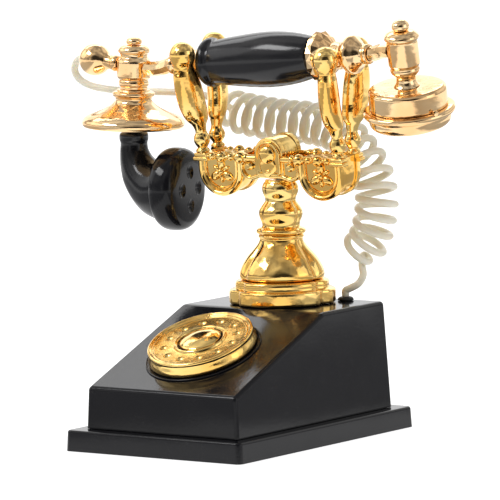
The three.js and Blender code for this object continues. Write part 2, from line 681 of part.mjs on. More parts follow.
// The plunger stands upright in the column, so it isn't raked with the cradle.
addPiece(telephone, 'cradle_plunger', 'steel', toSolid(turned([
  [0, 32], [3, 32], [3, HOOK.collarTop - 2], [6, HOOK.collarTop - 2], [6, HOOK.collarTop],
  [3, HOOK.collarTop], [3, CRADLE_Z + 7.5], [0, CRADLE_Z + 7.5],
], 16).translate(COLUMN.x, COLUMN.y, 0)));

function buildPlungerSpring() {
  const [bottom, top, turns, radius, wireRadius] = [36.5, 59, 5, 5, 0.7];
  const steps = turns * 7;
  const points = Array.from({ length: steps + 1 }, (_, i) => {
    const t = (i / 7) * 2 * Math.PI;
    return new THREE.Vector3(radius * Math.cos(t), radius * Math.sin(t), bottom + (top - bottom) * i / steps);
  });
  return toSolid(helixTube(points, wireRadius, 4)).translate([COLUMN.x, COLUMN.y, 0]);
}

// ---------------------------------------------------------------- wound tubes

// Closed tube whose rings follow the points one by one.
function helixTube(points, radius, sides) {
  let across = new THREE.Vector3(0, 0, 1);
  const rings = points.map((point, i) => {
    const ahead = points[Math.min(i + 1, points.length - 1)];
    const behind = points[Math.max(i - 1, 0)];
    const along = ahead.clone().sub(behind).normalize();
    if (Math.abs(across.dot(along)) > 0.95) across = new THREE.Vector3(1, 0, 0);
    across = across.addScaledVector(along, -across.dot(along)).normalize();
    const upward = along.clone().cross(across);
    return circleRing(point, across, upward, radius, sides);
  });
  return loft(rings);
}

addPiece(telephone, 'plunger_spring', 'steel', buildPlungerSpring());

// ---------------------------------------------------------------- handset

const handset = addGroup(cradle, [0, 0, HANDSET_RISE], { turnY: -HANDSET_TILT });

function alongX(profile, facets) {
  return toSolid(turned(profile.map(([u, r]) => [r, u]), facets).rotateY(Math.PI / 2));
}

addPiece(handset, 'handset_grip', 'black', alongX([
  [-51, BORE], [-51, 12], [-49, 15.4], [-45.6, 16.3], [-41.4, 14.7], [-27, 16.3], [-12, 17.8], [1, 18.1],
  [13, 17.4], [24, 15.7], [36.6, 13.1], [36.6, BORE], [-51, BORE],
], 24));
addPiece(handset, 'handset_spindle', 'steel', alongX([[-75, 0], [-75, SPINDLE], [77, SPINDLE], [77, 0]], 12));
addPiece(handset, 'rest_collar_left', 'paleGold', alongX([
  [-79.6, 0], [-79.6, 6.4], [-76.4, 6.4], [-75.6, 5.4], [-72.6, 6.2], [-68, 9.2], [-54, 9.2],
  [-52.6, 10.4], [-51.3, 10.4], [-51.3, BORE], [-75.3, BORE], [-75.3, 0],
], 18));
addPiece(handset, 'grip_knob', 'paleGold', alongX([
  [36.9, BORE], [36.9, 12.8], [39.2, 15.9], [42, 16.8], [44.8, 16], [48.4, 12.2], [51.6, 8.4],
  [51.6, BORE], [36.9, BORE],
], 20));
addPiece(handset, 'grip_cone', 'paleGold', alongX([
  [51.9, BORE], [51.9, 8.4], [53.4, 9.2], [61, 9.2], [64, 11.9], [66.4, 12.8], [68.8, 12], [71, 9.4],
  [76, 6], [77.4, 6.6], [79.6, 6.6], [80.2, 5.2], [80.2, 0], [77.3, 0], [77.3, BORE], [51.9, BORE],
], 20));

const mouthHead = addGroup(handset, [MOUTH_X, 0, 0], { turnX: -RAKE, turnY: MOUTH_CANT });
const earHead = addGroup(handset, [EAR_X, 0, 0], { turnX: EAR_TURN, turnY: EAR_CANT });

// Socket cut for the end of a rod, in the handset's own frame.
function headSocket(head, radius) {
  head.updateMatrix();
  return toSolid(drum(radius + GAP, -20, 20, 24).applyMatrix4(head.matrix));
}

addPiece(handset, 'handset_rod_left', 'paleGold', toSolid(wire(vectors([
  [MOUTH_X, 0, 0], [-104, 0, -1.3], [-96, 0, -2.3], [-88, 0, -1.8], [-82, 0, -0.5], [-79.95, 0, -0.4],
]), ROD, 5, 10)).subtract(headSocket(mouthHead, 11.2)));
addPiece(handset, 'handset_rod_right', 'paleGold', toSolid(wire(vectors([
  [80.55, 0, 0], [82.6, 0, 0.1], [89, 0, 1.4], [95, 0, 1.6], [EAR_X, 0, 0.2],
]), ROD, 5, 10)).subtract(headSocket(earHead, 10.2)));

addPiece(mouthHead, 'mouth_head', 'paleGold', toSolid(turned([
  [0, 14.6], [5.2, 14.3], [8.3, 12.7], [10.3, 9.6], [10.5, 7.4], [10, 5.4], [11.1, 2.8], [11.2, -7.4],
  [9.4, -9.6], [9.9, -10.4], [9.9, -12.6], [9.2, -13.4], [9.2, -14.8], [0, -14.8],
], 18)));
addPiece(mouthHead, 'mouth_finial', 'paleGold', toSolid(turned([
  [0, 14.9], [4.2, 14.9], [5.2, 16.2], [4.7, 17.8], [3, 19], [0, 19.4],
], 12)));
// The ball leans up a little from square.
const BALL_CANT = 4.2 * DEG;
addPiece(mouthHead, 'end_ball', 'paleGold', toSolid(turned([
  [0, -43], [4.6, -42], [8.4, -38.9], [10.4, -34.4], [10.2, -30], [8, -25.6], [5.3, -22.4],
  [4.7, -18.4], [5.4, -15.6], [5.2, -13.4], [4.6, -12], [0, -12],
], 18).rotateY(Math.PI / 2 + BALL_CANT)));
addPiece(mouthHead, 'mouth_bell', 'paleGold', toSolid(turned([
  [0, -15.1], [13.4, -15.1], [14.5, -16.2], [14.6, -21.4], [20.9, -27.8], [27, -31.5], [32.6, -35],
  [34.4, -37.6], [33.4, -40.2], [31.4, -39.6], [28, -36.2], [16, -29.4], [9, -24.2], [0, -24.2],
], 24)));

// Speaking horn: down out of the bell, then round towards the ear end, widening to its cup.
function buildHorn() {
  const facets = 16;
  const rows = [
    [0, -25.8, 6.8], [0, -43, 7.2], [0, -44.4, 9.6], [0, -49, 9.6], [0, -50.6, 9], [0.2, -57, 9.8],
    [2, -64, 11.6], [5.6, -70.6, 14.1], [11, -75.8, 16.9], [17, -79.3, 19.7], [22, -80.5, 21.2],
    [26.4, -80.5, 22],
  ];
  const middle = rows.map(([u, w]) => new THREE.Vector3(u, 0, w));
  const rings = rows.map(([, , radius], i) => {
    const along = middle[Math.min(i + 1, rows.length - 1)].clone().sub(middle[Math.max(i - 1, 0)]).normalize();
    const across = new THREE.Vector3(0, 1, 0);
    return circleRing(middle[i], across, along.clone().cross(across), radius, facets);
  });
  return toSolid(loft(rings));
}

// The horn hangs plumb under the bell, though the bell is canted.
const horn = addGroup(handset, [MOUTH_X - 1.4, 0, 0], { turnX: -RAKE, turnY: HANDSET_TILT, turnZ: HORN_TURN });
const HORN_MOUTH_W = -80.5;

addPiece(horn, 'mouth_horn', 'black', buildHorn());

function buildMouthCap() {
  const cap = turned([
    [0, 26.8], [22.5, 26.8], [22.5, 22.6], [25, 23.6], [27.2, 26.8], [27.5, 31], [27.4, 37], [26.2, 40.4],
    [24, 41.9], [21.2, 40.9], [0, 41.7],
  ], 24).rotateY(Math.PI / 2).translate(0, 0, HORN_MOUTH_W);
  const dimples = Array.from({ length: 4 }, (_, i) => {
    const t = (i / 4) * 2 * Math.PI;
    return toSolid(ball(7.4, 46.6, 11.4 * Math.cos(t), HORN_MOUTH_W + 11.4 * Math.sin(t), 8));
  });
  return toSolid(cap).subtract(union(...dimples));
}

addPiece(horn, 'mouth_cap', 'black', buildMouthCap());

addPiece(earHead, 'ear_head', 'paleGold', toSolid(turned([
  [0, 15], [5.8, 14.8], [9.6, 13.4], [11.4, 10.8], [10.2, 8.6], [10.2, 7.8], [10.2, -7.6],
  [9.2, -9], [9.2, -12.4], [5.2, -16.6], [4.1, -19], [6.8, -22.4], [0, -22.4],
], 20)));
addPiece(earHead, 'ear_finial', 'paleGold', toSolid(turned([
  [0, 15.3], [4.9, 15.3], [5.8, 17.4], [4.6, 20.4], [2.6, 21.7], [0, 22.1],
], 12)));
addPiece(earHead, 'ear_cup', 'paleGold', toSolid(turned([
  [0, -22.7], [23.4, -22.7], [25.4, -24.6], [25.5, -36.2], [23.3, -36.2], [23.3, -25.4], [0, -25.4],
], 26)));
function buildEarCap() {
  const cap = toSolid(turned([
    [0, -33.8], [20, -33.8], [20, -36.5], [27.6, -36.5], [29.8, -37.4], [30.4, -38.8], [29.8, -40.2],
    [27.6, -41], [26.8, -42.4], [26.2, -46], [24, -48.6], [21.4, -49.8], [0, -48.6],
  ], 18));
  const lug = toSolid(ball(2.4, 28.6 * Math.cos(-20 * DEG), 28.6 * Math.sin(-20 * DEG), -36.4, 8));
  const holes = Array.from({ length: 5 }, (_, i) => {
    const t = (i / 5) * 2 * Math.PI;
    return toSolid(drum(1.4, -52, -30, 6).translate(6.5 * Math.cos(t), 6.5 * Math.sin(t), 0));
  });
  return cap.add(lug).subtract(union(...holes));
}

addPiece(earHead, 'ear_cap', 'paleGold', buildEarCap());
addPiece(earHead, 'receiver_capsule', 'steel', toSolid(drum(19, -33.5, -25.8, 20)));

// Cord entry on the rear side of the end ball, aimed away from the ear end.
const ENTRY = { turn: 45 * DEG, ballU: -32.4, ballW: 2.4, tip: 17.6 };
addPiece(mouthHead, 'cord_entry', 'paleGold', toSolid(turned([
  [0, 10.9], [2.4, 10.7], [4.4, 10], [4.4, 11.8], [3.6, 13], [3.1, ENTRY.tip], [0, ENTRY.tip],
], 14).rotateX(-Math.PI / 2).rotateZ(ENTRY.turn).translate(ENTRY.ballU, 0, ENTRY.ballW)));

// ---------------------------------------------------------------- curly cord

telephone.updateMatrixWorld(true);

const entryAim = new THREE.Vector3(-Math.sin(ENTRY.turn), Math.cos(ENTRY.turn), 0);
const entryTip = new THREE.Vector3(ENTRY.ballU, 0, ENTRY.ballW)
  .addScaledVector(entryAim, ENTRY.tip)
  .applyMatrix4(mouthHead.matrixWorld);
entryAim.transformDirection(mouthHead.matrixWorld);

// Plain run from the handset: out, round to the left and back behind the handset.
const leadIn = [
  ...[0.4, 3, 5.6].map((reach) => entryTip.clone().addScaledVector(entryAim, reach)),
  ...vectors([
    [-168, 63.8, 239.6], [-176, 68, 237.6], [-182, 71, 233.6], [-184, 73, 228.6], [-181.5, 75, 223.4],
    [-174, 76.8, 219.4], [-161, 79, 217], [-146, 81, 216.2], [-130, 83, 216], [-115, 85, 216],
    [-103, 87, 216], [-93, 88.5, 215.6],
  ]),
];

// Middle line of the wound length, in the plane Y = COIL_Y.
const COIL_Y = 90;
const coilAxis = new THREE.CatmullRomCurve3(vectors([
  [-70, COIL_Y, 205.2], [-42, COIL_Y, 201.2], [-19.4, COIL_Y, 199.3], [3.2, COIL_Y, 198.1],
  [20.6, COIL_Y, 193.4], [34.7, COIL_Y, 182.1], [44.7, COIL_Y, 169.3], [49.1, COIL_Y, 153],
  [48, COIL_Y, 139.8], [43.2, COIL_Y, 124.8], [34, COIL_Y, 112.6],
]));

function coilPoints() {
  const { turns, coilRadius } = CORD;
  const across = new THREE.Vector3(0, 1, 0);
  return Array.from({ length: turns * 8 + 1 }, (_, i) => {
    const s = i / (turns * 8);
    const swell = Math.min(1, 0.45 + i / 8, 0.45 + (turns * 8 - i) / 8);
    const upward = coilAxis.getTangentAt(s).cross(across);
    const t = (i / 8) * 2 * Math.PI + CORD.startTurn;
    return coilAxis.getPointAt(s)
      .addScaledVector(across, Math.cos(t) * coilRadius * swell)
      .addScaledVector(upward, -Math.sin(t) * coilRadius * swell);
  });
}

// Plain run down to the bushing in the top of the case.
const bushingTop = CASE.top + 2.4 + 0.4;
const tail = vectors([
  [38.5, 86.5, 106.5], [41, 84, 100.5], [39.4, 80.8, 95.2], [35, 78.2, 92.4],
  [CORD_EXIT.x, CORD_EXIT.y, bushingTop + 3.6], [CORD_EXIT.x, CORD_EXIT.y, bushingTop + 1.8],
  [CORD_EXIT.x, CORD_EXIT.y, bushingTop],
]);

function smoothed(points, steps) {
  return new THREE.CatmullRomCurve3(points).getPoints(steps);
}

const coil = coilPoints();
const leadCount = 34;
const tailCount = 14;
const lead = smoothed([...leadIn, coil[0], coil[1]], leadCount);
const cordPoints = [...lead.slice(0, -3), ...coil, ...smoothed([...coil.slice(-2), ...tail], tailCount).slice(3)];

// Least clear space between lengths of the cord that aren't neighbours along it.
function leastSelfGap(points) {
  let least = Infinity;
  const reach = points.map(() => 0);
  for (let i = 1; i < points.length; i++) reach[i] = reach[i - 1] + points[i].distanceTo(points[i - 1]);
  for (let i = 0; i < points.length; i++) {
    for (let j = i + 1; j < points.length; j++) {
      if (reach[j] - reach[i] < 30) continue;
      least = Math.min(least, points[i].distanceTo(points[j]) - 2 * CORD.radius);
    }
  }
  return { least, length: reach[reach.length - 1] };
}

const cordMeasure = leastSelfGap(cordPoints);
console.log(`cord: ${cordMeasure.length.toFixed(0)} mm long, least self-gap ${cordMeasure.least.toFixed(2)} mm`);
addPiece(telephone, 'curly_cord', 'cord', toSolid(helixTube(cordPoints, CORD.radius, 5)));

export default telephone;
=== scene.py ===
# %% [markdown]
# # A French-style cradle telephone
#
# The real object is a desk telephone dressed up as an antique: a glossy black moulded case with a
# dial on its sloping front, a turned column in bright yellow gold plate, a cast cradle with four
# prongs, and a handset with paler gold fittings on a curly ivory cord. This notebook dresses a
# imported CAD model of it. The CAD model is the fixed frame: it says where each piece stands and how
# it moves. Every cell below adds one smooth, finely shaped piece or one finish.

# %% Load the frame
import math

import bmesh
import bpy
from mathutils import Matrix, Vector


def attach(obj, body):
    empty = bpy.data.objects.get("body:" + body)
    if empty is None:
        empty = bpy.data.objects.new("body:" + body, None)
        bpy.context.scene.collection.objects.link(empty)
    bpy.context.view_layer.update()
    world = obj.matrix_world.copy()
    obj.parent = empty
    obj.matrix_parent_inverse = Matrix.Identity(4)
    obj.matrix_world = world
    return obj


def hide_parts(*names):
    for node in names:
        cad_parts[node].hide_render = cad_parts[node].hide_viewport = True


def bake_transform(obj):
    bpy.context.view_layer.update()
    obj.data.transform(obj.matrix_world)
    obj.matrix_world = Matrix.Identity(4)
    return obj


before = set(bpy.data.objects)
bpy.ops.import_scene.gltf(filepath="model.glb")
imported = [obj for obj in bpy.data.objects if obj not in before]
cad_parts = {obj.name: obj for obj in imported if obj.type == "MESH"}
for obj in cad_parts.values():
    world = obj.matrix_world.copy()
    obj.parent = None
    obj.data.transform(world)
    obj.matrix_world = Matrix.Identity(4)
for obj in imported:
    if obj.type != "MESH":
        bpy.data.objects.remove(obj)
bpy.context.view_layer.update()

# %% [markdown]
# ## Camera
#
# The photograph was taken with a long lens from the front right, a little above the dial. A long
# lens keeps upright edges nearly parallel, which is why the case looks so calm. The camera could be
# placed by eye, but a matrix built from three turns is easier to repeat: first round the object,
# then the tilt down, and last the small roll of the tripod. Place in metres, turns in degrees.

# %% Camera
def shift(x, y, z):
    return Matrix.Translation((x, y, z))


def turn(axis, degrees):
    return Matrix.Rotation(math.radians(degrees), 4, axis)


CAMERA_PLACE = (2.36171, -3.27749, 0.56903)
ROUND_FROM_FRONT, TILT_DOWN, TRIPOD_ROLL = 35.656, 6.2922, -1.2737

lens = bpy.data.cameras.new("portrait_lens")
lens.sensor_width = 36
lens.lens = 451.6
lens.clip_start, lens.clip_end = 0.1, 60
camera = bpy.data.objects.new("camera", lens)
camera.matrix_world = (
    shift(*CAMERA_PLACE) @ turn("Z", ROUND_FROM_FRONT) @ turn("X", 90 - TILT_DOWN) @ turn("Z", TRIPOD_ROLL)
)
bpy.context.scene.collection.objects.link(camera)
bpy.context.scene.camera = camera
print("camera stands", round(camera.location.length, 2), "m from the telephone")

# %% [markdown]
# ## Where the pieces stand
#
# Each group of pieces has its own drawing: the dial is drawn flat and then leaned on the slope, and
# the handset is drawn level and then tilted. One matrix per drawing puts it in place. Drawings are
# in millimetres, as a workshop would have them, and one more matrix turns them into metres. The
# heights that several drawings share, and the lean of cradle and handset, are named once.

# %% Drawing boards
METRES = Matrix.Scale(0.001, 4)
CASE_FOOT, CASE_TOP = 14.4, 84.1
COLUMN_Y = 50
CRADLE_LEAN = 6.5

CASE = Matrix.Identity(4)
DIAL = shift(-1, -37.969, 61.600) @ turn("X", 22.8)
CORD_OUTLET = shift(31.5, 77, CASE_TOP)
LINE_INLET = shift(-30, 87.68, 26) @ turn("X", -90)
COLUMN = shift(0, COLUMN_Y, CASE_TOP)
CRADLE = shift(0, COLUMN_Y, 167.5) @ turn("X", CRADLE_LEAN)
HANDSET = CRADLE @ shift(0, 0, 77.5) @ turn("Y", -4.1)
MOUTH = HANDSET @ shift(-111.3, 0, 0) @ turn("X", -CRADLE_LEAN) @ turn("Y", 6.3)
CORD_ENTRY = MOUTH @ shift(-32.4, 0, 2.4) @ turn("Z", 45) @ turn("X", -90)
HORN = HANDSET @ shift(-112.7, 0, 0) @ turn("X", -CRADLE_LEAN) @ turn("Y", 4.1) @ turn("Z", 8.5)
EAR = HANDSET @ shift(106, 0, 0) @ turn("X", 6.9) @ turn("Y", 7.1)
print("handset axis is", round(HANDSET.translation.z), "mm above the table")

# %% [markdown]
# ## Curly cord
#
# The cord is soft ivory plastic wound on a rod and baked, so it keeps its curls. It leaves a bushing
# in the top of the case, climbs behind the cradle in twenty turns and runs on plain to the mouth end
# of the handset. A curve object with a round bevel makes such a tube directly. Its points come from
# two simple ideas: a smooth line through a few route points, and a circle carried along that line.
# The first and the last half-turn are narrower, so that the coil runs out into the plain cord.

# %% A smooth line through points
def flowing(points, steps):
    """A smooth line through the points, with this many steps from each to the next.

    It is a centripetal spline: gaps are taken to the power of a half, which keeps the line from
    swinging out where a short gap follows a long one.
    """
    given = [Vector(point) for point in points]
    given = [2 * given[0] - given[1], *given, 2 * given[-1] - given[-2]]
    line = []
    for before, start, end, after in zip(given, given[1:], given[2:], given[3:]):
        gaps = [max((b - a).length, 1e-9) ** 0.5 for a, b in ((before, start), (start, end), (end, after))]
        leave = (start - before) / gaps[0] - (end - before) / (gaps[0] + gaps[1]) + (end - start) / gaps[1]
        arrive = (end - start) / gaps[1] - (after - start) / (gaps[1] + gaps[2]) + (after - end) / gaps[2]
        leave, arrive = leave * gaps[1], arrive * gaps[1]
        for step in range(steps):
            t = step / steps
            line.append(
                start * (2 * t**3 - 3 * t**2 + 1) + leave * (t**3 - 2 * t**2 + t)
                + end * (3 * t**2 - 2 * t**3) + arrive * (t**3 - t**2)
            )
    return [*line, given[-2]]


def length_of(line):
    return sum((b - a).length for a, b in zip(line, line[1:]))


# %% Coil
COIL_Y = 89.38
COIL_AXIS = [(x, COIL_Y, z) for x, z in (
    (-70, 205.2), (-42, 201.2), (-19.4, 199.3), (3.2, 198.1), (20.6, 193.4), (34.7, 182.1), (44.7, 169.3),
    (49.1, 153), (48, 139.8), (43.2, 124.8), (34, 112.6),
)]
TURNS, COIL_RADIUS, POINTS_A_TURN = 20, 12.2, 24
NARROW_END = 0.45


def coil_points():
    """Points round the coil's axis, with even steps along it."""
    axis = flowing(COIL_AXIS, 80)
    spacing = length_of(axis) / (TURNS * POINTS_A_TURN)
    points, travelled, at = [], 0.0, 0
    for step in range(TURNS * POINTS_A_TURN + 1):
        while at < len(axis) - 2 and travelled + (axis[at + 1] - axis[at]).length < step * spacing:
            travelled += (axis[at + 1] - axis[at]).length
            at += 1
        along = (axis[at + 1] - axis[at]).normalized()
        centre = axis[at] + along * (step * spacing - travelled)
        turned_by = step / POINTS_A_TURN
        radius = COIL_RADIUS * min(1, NARROW_END + turned_by, NARROW_END + TURNS - turned_by)
        angle = 2 * math.pi * turned_by
        across = Vector((0, 1, 0))
        points.append(
            centre + across * (radius * math.cos(angle)) - along.cross(across) * (radius * math.sin(angle))
        )
    return points


coil = coil_points()
print("coil holds", round(length_of(coil)), "mm of cord")

# %% Route from the case to the handset
ENTRY_LENGTH = 17.6
lead = [CORD_ENTRY @ Vector((0, 0, ENTRY_LENGTH + reach)) for reach in (0.4, 3, 5.6)] + [
    (-168, 63.8, 239.6), (-175.8, 68, 237.6), (-181.5, 71, 233.6), (-183.4, 73, 228.6), (-181.1, 75, 223.4),
    (-174, 76.8, 219.4), (-161, 79, 217), (-146, 81, 216.2), (-130, 83, 216), (-115, 85, 216),
    (-103, 87, 216), (-93, 88.5, 215.6),
]
tail = [
    (38.5, 86.5, 106.5), (41, 84, 100.5), (39.4, 80.8, 95.2), (35, 78.2, 92.4),
] + [CORD_OUTLET @ Vector((0, 0, rise)) for rise in (6.4, 4.6, 2.8)]
lead_line = flowing([*lead, coil[0], coil[2]], 4)[: 4 * len(lead)]
tail_line = flowing([coil[-3], coil[-1], *tail], 4)[5:]
route = [point / 1000 for point in reversed([*lead_line, *coil, *tail_line])]
print("cord runs", round(length_of(route), 3), "m in", len(route), "points")

# %% Cord mesh
CORD_DIAMETER = 0.0049


def tube_along(name, points, diameter, sides):
    """A tube through the points, as a mesh object. A bevel has four sides and two more for each step."""
    curve = bpy.data.curves.new(name, "CURVE")
    curve.dimensions = "3D"
    curve.bevel_depth = diameter / 2
    curve.bevel_resolution = (sides - 4) // 2
    curve.use_fill_caps = True
    spline = curve.splines.new("POLY")
    spline.points.add(len(points) - 1)
    for knot, point in zip(spline.points, points):
        knot.co = (*point, 1)
    shaped = bpy.data.objects.new(name, curve)
    mesh = bpy.data.meshes.new_from_object(shaped)
    bpy.data.objects.remove(shaped)
    bpy.data.curves.remove(curve)
    mesh.name = name
    return bpy.data.objects.new(name, mesh)


cord = tube_along("curly_cord_ivory", route, CORD_DIAMETER, sides=14)
bpy.context.scene.collection.objects.link(cord)
cord.data.shade_smooth()
cord.data.set_sharp_from_angle(angle=math.radians(50))
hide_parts("curly_cord")
round(length_of(route), 3)
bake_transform(cord)
print("cord mesh has", len(cord.data.polygons), "faces")

# %% [markdown]
# ## Wiring a finish
#
# A finish is a small net of shader nodes. Wired by hand it takes many lines, so a socket is wrapped
# in a class that understands plus and times: writing `mask * 0.5 + 0.1` then adds the Math nodes
# itself. Colours go through a Mix node, because a Math node would turn them grey. One method makes
# every other node, from its kind, its settings and its sockets.

# %% Socket class and node maker
class Wire:
    """A socket that can be used in sums and products."""

    def __init__(self, net, socket):
        self.net, self.socket = net, socket

    def maths(self, operation, first, second):
        return self.net.node("ShaderNodeMath", {"operation": operation}, {0: first, 1: second})

    def __add__(self, other):
        return self.maths("ADD", self, other)

    def __mul__(self, other):
        return self.maths("MULTIPLY", self, other)

    __radd__, __rmul__ = __add__, __mul__


class Net:
    """A net of shader nodes, wired node by node."""

    def __init__(self, tree):
        self.tree = tree

    def node(self, kind, settings=None, sockets=None, output=0):
        """Makes a node: its settings first, then a value or a link for each socket."""
        made = self.tree.nodes.new(kind)
        for key, value in (settings or {}).items():
            setattr(made, key, value)
        for key, value in (sockets or {}).items():
            if isinstance(value, Wire):
                self.tree.links.new(value.socket, made.inputs[key])
            else:
                made.inputs[key].default_value = value
        return Wire(self, made.outputs[output])

    def vectors(self, operation, *inputs):
        """The number that a Vector Math node makes, such as a length or a dot product."""
        return self.node("ShaderNodeVectorMath", {"operation": operation}, dict(enumerate(inputs)), "Value")

    def between(self, value, low, high):
        """0 below low, 1 above high, and a smooth step in between."""
        return self.node("ShaderNodeMapRange", {"interpolation_type": "SMOOTHSTEP"}, {
            "Value": value, "From Min": low, "From Max": high,
        })

    def blend(self, share, first, second):
        """A Mix node between two colours."""
        return self.node("ShaderNodeMix", {"data_type": "RGBA"}, {0: share, 6: first, 7: second}, output=2)


class Finish(Net):
    """The net of one material."""

    def __init__(self, name, **fixed):
        self.material = bpy.data.materials.new(name)
        self.material.use_nodes = True
        super().__init__(self.material.node_tree)
        self.surface = self.tree.nodes["Principled BSDF"]
        for socket, value in fixed.items():
            self.surface.inputs[socket.replace("_", " ")].default_value = value

    def noise(self, scale, detail=3.0, rough=0.55, stretch=(1, 1, 1)):
        place = self.node("ShaderNodeTexCoord", output="Object")
        where = self.node("ShaderNodeMapping", None, {"Vector": place, "Scale": stretch})
        return self.node("ShaderNodeTexNoise", None, {
            "Vector": where, "Scale": scale, "Detail": detail, "Roughness": rough,
        })

    def bump(self, height, depth, under=None):
        """Dents and ripples up to this many metres deep, over the ones already there."""
        sockets = {"Height": height, "Distance": depth, "Strength": 1.0}
        if under:
            sockets["Normal"] = under
        return self.node("ShaderNodeBump", None, sockets)

    def feed(self, **wires):
        for socket, wire in wires.items():
            self.tree.links.new(wire.socket, self.surface.inputs[socket.replace("_", " ")])
        return self.material


# %% [markdown]
# ## Gold plate
#
# The castings are polished, coppered and flashed with gold. Thin plating stays bright, but the
# polish is never optically flat: broad ripples a centimetre wide bend the reflections, and a fine
# orange peel softens them. The colour deepens where the plating is thicker. A metal's colour is all
# in its Base Color, so a noise mask mixes two golds, and two Bump nodes in a row make the ripples.

# %% Gold finishes
def plated(name, bright, deep, grain=0.0, **fixed):
    finish = Finish(name, Metallic=1.0, **fixed)
    cloud = finish.between(finish.noise(38, 2), 0.35, 0.7)
    specks = finish.between(finish.noise(900, 2), 0.70, 0.78)
    tone = finish.blend(cloud, bright, deep)
    tone = finish.blend(specks * 0.55, tone, (0.30, 0.15, 0.03, 1))
    polish = finish.noise(240, 3) * 0.09 + (0.06 + grain * 0.14) + specks * 0.25
    ripples = finish.bump(finish.noise(80, 2), 0.00055)
    peel = finish.bump(finish.noise(700 + 700 * grain, 2), 0.00003 + grain * 0.00001, ripples)
    return finish.feed(Base_Color=tone, Roughness=polish, Normal=peel)


gold = plated("gold_plate_polished", (1.0, 0.70, 0.25, 1), (0.95, 0.56, 0.14, 1))
gold_cast = plated("gold_plate_as_cast", (1.0, 0.70, 0.23, 1), (0.96, 0.60, 0.14, 1), grain=1.0)
pale_gold = plated("pale_gold_plate", (1.0, 0.72, 0.40, 1), (0.96, 0.60, 0.28, 1))
print("gold finishes:", gold.name, gold_cast.name, pale_gold.name)

# %% [markdown]
# ## Black plastic
#
# The case, grip and horn are moulded in gloss black. Up close the gloss shows sink marks, which are
# slow waves in the reflection, short hairline scratches and settled dust. Black plastic has almost
# no colour of its own, so nearly all that is seen is the clear reflection on top of it. The grip and
# the horn are handled more, which rubs their gloss down: their lights are broader and softer.

# %% Gloss black finish
def moulded_black(name, dust, rubbed, **fixed):
    finish = Finish(name, **fixed)
    mist = finish.between(finish.noise(60, 3), 0.45, 0.75)
    grains = finish.between(finish.noise(2600, 1), 0.68, 0.75)
    settled = grains * mist * dust
    tone = finish.blend(settled, (0.0085, 0.0085, 0.0105, 1), (0.22, 0.21, 0.20, 1))
    scratches = finish.between(finish.noise(900, 2, 0.6, (1, 0.08, 0.5)), 0.62, 0.70)
    gloss = rubbed + finish.noise(30, 2) * 0.05 + scratches * 0.05 + settled * 0.4
    waves = finish.bump(finish.noise(22, 1), 0.0004)
    pebbles = finish.bump(finish.noise(450, 2), 0.00003, waves)
    return finish.feed(Base_Color=tone, Roughness=gloss, Normal=pebbles)


black = moulded_black("gloss_black_plastic", 0.5, 0.075, IOR=1.33)
worn_black = moulded_black("rubbed_black_plastic", 0.3, 0.125, IOR=1.45)
print("black finishes:", black.name, worn_black.name)

# %% [markdown]
# ## Ivory cord plastic
#
# Soft vinyl lets a little light in, so its shadows stay warm and pale. Subsurface scattering gives
# that glow. Its amounts are the same all over the cord, so they are set on the shader itself. Only
# the colour, the shine and a fine skin are wired: handling leaves the ivory yellow in clouds.

# %% Ivory finish
def ivory_vinyl():
    finish = Finish(
        "ivory_vinyl", Subsurface_Weight=0.35, Subsurface_Scale=0.004, Subsurface_Radius=(1.0, 0.8, 0.55),
        IOR=1.5,
    )
    cloud = finish.between(finish.noise(45, 3), 0.3, 0.75)
    tone = finish.blend(cloud, (0.90, 0.86, 0.73, 1), (0.84, 0.78, 0.62, 1))
    shine = 0.24 + finish.noise(500, 2) * 0.14
    skin = finish.bump(finish.noise(600, 2), 0.00004)
    return finish.feed(Base_Color=tone, Roughness=shine, Normal=skin)


ivory = ivory_vinyl()
cord.data.materials.append(ivory)
print("cord finish:", ivory.name)

# %% [markdown]
# ## Finishes inside and underneath
#
# Springs, brackets and bells are plain steel or brass with a dull, slightly streaked surface. The
# wiring board is brown laminate, the pad under the case is felt, and the two bushings are rubber.
# One function with a colour pair and a scale covers all of them, since each is one material with
# an uneven shine.

# %% Workshop finishes
def plain(name, light, dark, roughness, scale, depth=0.00003, **fixed):
    finish = Finish(name, **fixed)
    cloud = finish.noise(scale, 4)
    tone = finish.blend(finish.between(cloud, 0.3, 0.7), light, dark)
    shine = roughness + cloud * 0.15
    return finish.feed(
        Base_Color=tone, Roughness=shine, Normal=finish.bump(finish.noise(scale * 6, 3), depth),
    )


steel = plain("drawn_steel", (0.60, 0.61, 0.62, 1), (0.46, 0.47, 0.48, 1), 0.28, 90, Metallic=1.0)
brass = plain("raw_brass", (0.80, 0.58, 0.26, 1), (0.62, 0.42, 0.16, 1), 0.26, 70, Metallic=1.0)
board = plain("brown_laminate", (0.20, 0.12, 0.05, 1), (0.13, 0.08, 0.03, 1), 0.45, 60)
felt = plain("dark_felt", (0.020, 0.022, 0.021, 1), (0.010, 0.012, 0.011, 1), 0.85, 900, 0.0003)
rubber = plain("black_rubber", (0.012, 0.012, 0.012, 1), (0.020, 0.020, 0.019, 1), 0.5, 200)
print("workshop finishes:", steel.name, brass.name, board.name, felt.name, rubber.name)

# %% [markdown]
# ## From a drawing to a piece
#
# Every piece ends the same way: doubles merged, normals turned outward, put in place, smooth
# shading with crisp edges kept, then tied to the CAD body it moves with. Flat walls next to a
# rounded edge shade best with weighted normals, where the big face decides and the gloss stays flat.

# %% Finishing a piece
WELD = 0.004


